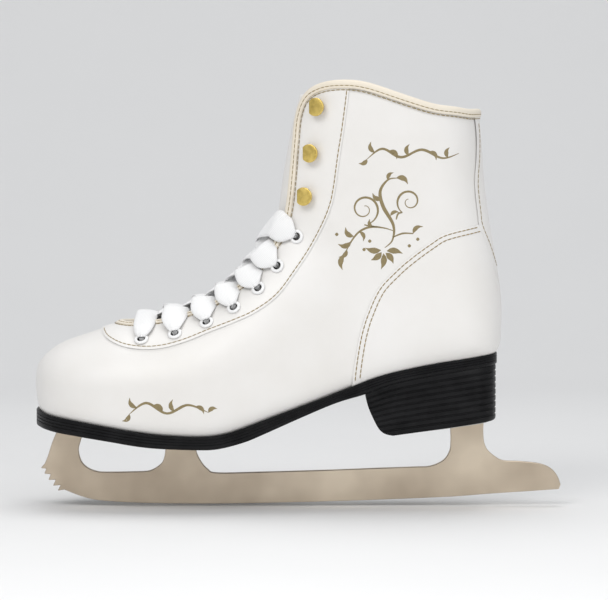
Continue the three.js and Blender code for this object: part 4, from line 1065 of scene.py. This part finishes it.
# A woven band through places (point, outward, half-width, bulge), smooth in all of them.
def ribbonPiece(name, places, samples, material, thick, folds=0.0, seed=0.0):
    rows = np.array([[*p, *o, w, b] for p, o, w, b in places])
    line = evenly(smoothLine(rows, 12), 1)
    walked = walkedAlong(line[:, :3])
    at = np.linspace(0, walked[-1], samples)
    line = placesAt(at, walked, line)
    runs = unit(np.gradient(line[:, :3], axis=0))
    outs = unit(line[:, 3:6])
    sides = unit(np.cross(runs, outs))
    ups = unit(np.cross(sides, runs))
    shares = np.linspace(-1, 1, laceSetup["across"] + 1)
    rings = []
    widest = line[:, 6].max()
    for i in range(samples):
        width, bulge = line[i, 6], line[i, 7]
        pinch = 1 - width / widest
        ring = []
        for up in (1, -1):
            for share in shares if up > 0 else shares[::-1]:
                rise = bulge * (1 - share ** 2) + folds * pinch * math.sin(share * 9 + seed + at[i] * 0.15)
                edge = max(0.0, 1 - share ** 8) ** 0.5
                lift = rise + up * thick / 2 * (0.25 + 0.75 * edge)
                ring.append(line[i, :3] + sides[i] * width * share + ups[i] * lift)
        rings.append(ring)
    piece = skinOf(name, rings, material)
    width = 2 * (laceSetup["across"] + 1)
    layerUv = piece.data.uv_layers.new(name="weave")
    for loopIndex, loopPart in enumerate(piece.data.loops):
        vertex = min(loopPart.vertex_index, samples * width - 1)
        i, j = divmod(vertex, width)
        share = shares[j] if j <= laceSetup["across"] else shares[width - 1 - j]
        layerUv.data[loopIndex].uv = (at[i] * mm, share * line[i, 6] * mm)
    return piece


laceBands = []
lastRow = len(eyeletPlaces) - 1
beside = {key: edgeBeside(key[0], seats[key][0]) for key in seats}


def middleOf(first, second):
    row = (first + second) / 2
    lift = unit([row[0] - row[2], 0, row[1] - row[3]])
    return np.array([row[0], row[5], row[1]]), lift


# A band's way from over the throat's edge to its eyelet and down through it.
def intoEyelet(place, out, edge, edgeOut, petal, widest, bulges):
    toGap, over, knot = unit(edge - place), laceSetup["over"], laceSetup["knot"]
    return [
        (place + (edge - place) * 0.62 + out * (over + 1.0), out + edgeOut, petal * widest, bulges[0]),
        (place + toGap * 2.6 + out * (over + 0.25), out, petal * 0.5, bulges[1]),
        (place + toGap * 1.2 + out * 1.9, out + toGap * 0.3, knot, 0.4),
        (place + toGap * 0.7 - out * 1.2, unit(out * 0.2 + toGap), knot * 0.7, 0.1),
        (place + toGap * 0.3 - out * 3.0, toGap, knot * 0.7, 0.1)]


for side, k in seats:
    petal = laceSetup["petal"] * (1 if k < 3 else laceSetup["upperPetal"])
    row, gap, edge, edgeOut = beside[side, k]
    if k == lastRow:  # one straight bar over the toe end
        if side == -1:
            centre, lift = middleOf(row, beside[1, k][0])
            bar = intoEyelet(*seats[side, k], edge, edgeOut, petal, 0.8, (1.1, 0.9))[::-1]
            bar += [(centre + lift * laceSetup["barRise"], lift, petal * 0.85, 0.7)]
            bar += intoEyelet(*seats[1, k], *beside[1, k][2:], petal, 0.8, (1.1, 0.8))
            laceBands.append(ribbonPiece("laceBar", bar, 90, laceWeave, laceSetup["thick"], 0.25))
        continue
    below, belowOut = seats[-side, k + 1]
    rowBelow, _, edgeBelow, edgeBelowOut = beside[-side, k + 1]
    centre, lift = middleOf(row, rowBelow)
    inGap, inOut = throatEdge(row, side, gap, -4.0)
    start = [
        (below + belowOut * laceSetup["under"], belowOut, laceSetup["knot"], 0.1),
        (edgeBelow + edgeBelowOut * laceSetup["under"], edgeBelowOut, petal * 0.6, 0.2),
        (centre + lift * laceSetup["crown"], lift, petal * 0.92, 0.6),
        (inGap + inOut * (laceSetup["edge"] - 0.9), inOut, petal, 1.1),
        (edge + edgeOut * laceSetup["edge"], edgeOut, petal, 1.5)]
    entry = intoEyelet(*seats[side, k], edge, edgeOut, petal, 0.93, (1.3, 0.9))
    laceBands.append(
        ribbonPiece("lacePetal", start + entry, 70, laceWeave, laceSetup["thick"], 0.3, k * 1.7 + side))
laceLeads = {
    -1: [(54.3, -17.4, 142.6), (57.3, -15.7, 138.7), (60.8, -15.5, 133.3)],
    1: [(54.3, 17.4, 142.8), (57.3, 15.7, 138.7), (60.8, 15.5, 133.3)]}
for side in (-1, 1):
    place, out = seats[side, 0]
    lead = [(place - out * 2.6, out, 1.3, 0.1), (place - out * 4.0 + (0.6, 0, -1.2), out, 1.9, 0.1)]
    down = out * 0.6 + (-0.6, 0, -0.5)
    lead += [(np.array(p), down, 2.2 + 0.6 * k, 0.2) for k, p in enumerate(laceLeads[side])]
    laceBands.append(ribbonPiece("laceLead", lead, 26, laceWeave, laceSetup["thick"]))
selectOnly(*laceBands)
bpy.ops.object.join()
laceBands[0].name = "flatLace"
finished(laceBands[0], "lace", slot="lace_cloth", angle=80)

# The loose ends lie inside the boot, down the shaft and along the sock.
tailRoutes = {
    "outer": [
        (61, -15.5, 133), (66, -17, 126), (73, -18, 117), (82, -18.5, 106), (91, -18.5, 96.5), (100, -18.3, 89.4),
        (109, -17.6, 85), (118, -15.5, 84.4), (126, -11.5, 85.7), (132, -5.5, 86.8), (134.5, 1.5, 87.2),
        (132.5, 8.5, 86.9), (127, 13.5, 85.9), (119, 16.5, 84.3), (109, 17.5, 82.3), (98, 17.5, 79.3), (87, 17, 76),
        (76, 16.5, 72.3),
        (65, 16.5, 68.1), (54, 17, 63.8), (44, 17.5, 60.1), (36, 18, 57.1)],
    "inner": [
        (61, 15.5, 133), (65, 14.5, 127), (70, 12, 118.5), (75, 8, 109.5), (79.5, 3, 100.5), (83, -2.5, 92),
        (84.5, -8, 84.5), (82.5, -12.5, 78.5), (77, -15, 74), (69, -16, 69.8), (58, -16, 65.4), (47, -16, 61.1),
        (36, -16, 57), (25, -16.5, 53), (13, -17, 50), (1, -17.3, 47.8), (-11, -17.3, 48), (-22, -16.5, 48.8),
        (-32, -13.5, 49.9), (-39.5, -7, 50.8), (-42, 2, 51.1), (-39, 10.5, 50.8), (-31, 16.5, 49.8), (-20, 18.5, 48.7),
        (-10, 19, 48)]}
tailSetup = dict(half=4.0, thick=0.9)
for word, route in tailRoutes.items():
    count = len(route)
    samples = 150 if count < 24 else 180
    places = []
    for k, point in enumerate(route):
        up = np.array([0.8 * max(0, 1 - k / 6), 0, 1.0 if k > 2 else 0.4])
        ends = min(1.0, 0.65 + k * 0.2, 0.35 + (count - 1 - k) * 0.4)
        places.append((np.array(point, float), up, tailSetup["half"] * ends, 0.25))
    tail = ribbonPiece("laceEnd" + word.title(), places, samples, laceWeave, tailSetup["thick"])
    centre = evenly(smoothLine(np.array(route, float), 10), 2.0)
    finished(tail, "lace_tail_" + word, slot="lace_cloth", angle=80)
print("lace made")


# ---- the print on the outer side: scrolls, leaves and a small flower ----
printSetup = dict(thick=0.07, lift=0.035)


def stroke(line, widths, spacing=0.5):
    line = evenly(smoothLine(line, 8), spacing)
    shares = np.linspace(0, 1, len(line))
    wide = np.interp(shares, np.linspace(0, 1, len(widths)), widths)
    run = unit(np.gradient(line, axis=0))
    side = np.stack([-run[:, 1], run[:, 0]], axis=1)
    rings = []
    for point, across, half in zip(line, side, wide):
        ring = []
        for share in (-1, 1):
            x, z = point + across * half * share
            place, out = wallPoint(x, z, -1)
            if place is None:
                return None
            ring.append((place, out))
        (low, lowOut), (high, highOut) = ring
        deep, tall = printSetup["lift"] - printSetup["thick"], printSetup["lift"]
        rings.append([low + lowOut * deep, high + highOut * deep, high + highOut * tall, low + lowOut * tall])
    return skinOf("stroke", rings, goldPrint)


def leaf(root, angle, length, width, bend=0.25):
    root = np.array(root, float)
    run = np.array([math.cos(angle), math.sin(angle)])
    across = np.array([-run[1], run[0]])
    line = [root + run * length * t + across * length * bend * math.sin(math.pi * t) for t in (0, 0.3, 0.65, 1)]
    return stroke(line, [0.1, width * 0.7, width, width * 0.8, width * 0.35, 0.05])


def scroll(centre, radius, start, turns, width):
    angles = np.linspace(0, 2 * math.pi * turns, int(abs(turns) * 16) + 2)
    size = radius * (1 - 0.8 * np.linspace(0, 1, len(angles)))
    line = [(centre[0] + r * math.cos(start + a), centre[1] + r * math.sin(start + a)) for a, r in zip(angles, size)]
    return stroke(line, [0.25, width, width * 0.9, width * 0.55, width * 0.3])


marks = [
    stroke([(97.5, 140), (101.5, 144), (102, 152), (96.5, 162), (95, 170), (99, 176), (104, 177)],
           [0.2, 0.5, 0.8, 1.0, 0.9, 0.6, 0.2]),
    stroke([(102, 149), (97, 150.5), (90, 151), (84, 148.5), (79.5, 143), (76, 136)],
           [0.2, 0.4, 0.6, 0.5, 0.4, 0.15]),
    scroll((86.5, 160.5), 8.2, -1.3, 1.45, 0.62), scroll((110.5, 164.5), 7.0, math.pi + 1.0, -1.35, 0.6),
    stroke([(86.6, 152.2), (90, 151.4), (95, 150.9)], [0.3, 0.5, 0.3]),
    stroke([(103.5, 155), (104.5, 158), (106.8, 158.8)], [0.3, 0.5, 0.4]),
    *(leaf(*each) for each in (
        ((103.5, 177), -0.5, 7, 1.5), ((99, 176), 0.9, 5, 1.1), ((96, 166), 2.6, 6, 1.3),
        ((100.5, 157), 0.35, 5, 1.0),
        ((79.5, 143), 3.3, 7, 1.5), ((81, 146), 2.3, 6.5, 1.4), ((77.3, 139), 3.9, 6, 1.2),
        ((76, 136), 4.6, 8, 1.5, -0.2), ((84, 148.5), -1.2, 5.5, 1.1), ((91, 151), 1.9, 4.5, 1.0),
        ((112.5, 147.5), 0.6, 6.5, 1.2))),
    stroke([(101.6, 145.5), (107, 147.6), (112.5, 147.5)], [0.3, 0.5, 0.3]),
]
for k in range(5):  # the flower
    turn = -math.pi / 2 + (k - 2) * 0.78 - 0.15
    root = (97 + 1.6 * math.cos(turn), 138.5 + 1.6 * math.sin(turn))
    marks.append(leaf(root, turn, 8.5 if k % 2 == 0 else 7, 1.7, 0.1))
for x, z in ((86.5, 139), (89.5, 143.5), (110.5, 141), (115, 144.5), (72, 147)):
    marks.append(stroke([(x - 0.9, z), (x, z), (x + 0.9, z)], [0.2, 0.75, 0.95, 0.75, 0.2], 0.2))
for line, leaves in (  # a spray near the collar and one on the toe
        ([(88, 187), (96, 192.5), (106, 188), (117, 192), (128, 187.5), (137, 190)],
         [((92, 190.6), 1.9, 6), ((100, 191.6), -0.9, 6), ((110, 189), 1.5, 6), ((121, 191), -0.9, 6),
          ((131, 187.8), 1.4, 5.5), ((88, 187), 3.6, 5)]),
        ([(-38, 52), (-29, 58), (-18, 52.5), (-7, 57), (4, 53)],
         [((-34, 55.5), 2.2, 6.5), ((-25, 57), -0.8, 6.5), ((-14, 53.6), 1.7, 6.5), ((-3, 56), -0.7, 6),
          ((4, 53), 0.4, 5), ((-38, 52), 3.9, 5.5)])):
    marks.append(stroke(line, [0.15, 0.6, 0.75, 0.6, 0.75, 0.5, 0.15]))
    marks += [leaf(root, angle, length, 1.25) for root, angle, length in leaves]
marks = [mark for mark in marks if mark]
selectOnly(*marks)
bpy.ops.object.join()
marks[0].name = "scrollPrint"
finished(marks[0], angle=60)
print("print laid on")


# ---- the floor and the light ----
floorPath = smoothLine([
    (-3.0, 0), (-1.0, 0), (0.5, 0), (1.0, 0.02), (1.35, 0.2), (1.55, 0.55), (1.6, 1.2), (1.6, 3.0)], 8)  # metres
floorPoints = [(x / mm, y / mm, z / mm) for y, z in floorPath for x in (-3, 3)]
floorFaces = [(2 * i, 2 * i + 1, 2 * i + 3, 2 * i + 2) for i in range(len(floorPath) - 1)]
floor = meshPiece("floor", floorPoints, floorFaces, stagePaper)
selectOnly(floor)
bpy.ops.object.shade_smooth()

world = bpy.data.worlds.new("studio")
scene.world = world
world.use_nodes = True
background = world.node_tree.nodes["Background"]
background.inputs["Color"].default_value = (0.95, 0.97, 1.0, 1)
background.inputs["Strength"].default_value = 0.5


def softLight(name, place, aim, power, size, color=(1, 1, 1)):
    light = bpy.data.lights.new(name, "AREA")
    light.energy = power
    light.size = size
    light.color = color
    lamp = bpy.data.objects.new(name, light)
    lamp.location = place
    lamp.rotation_euler = (Vector(aim) - Vector(place)).to_track_quat("-Z", "Y").to_euler()
    scene.collection.objects.link(lamp)


skateMiddle = (0.05, 0, 0.1)
lightSetup = {  # place, aim, power, size and colour
    "key": ((-0.7, -1.3, 1.2), skateMiddle, 10.8, 0.9, (1, 0.985, 0.96)),
    "fill": ((1.1, -1.2, 0.7), skateMiddle, 6, 0.9),
    "top": ((0.1, 0.3, 1.5), skateMiddle, 8, 1.0),
    "floorWash": ((0.05, -0.55, 0.5), (0.05, -0.6, 0), 0.8, 0.4)}
for name, values in lightSetup.items():
    softLight(name, *values)
scene.view_settings.view_transform = "Standard"
scene.view_settings.look = "None"
print("lit")
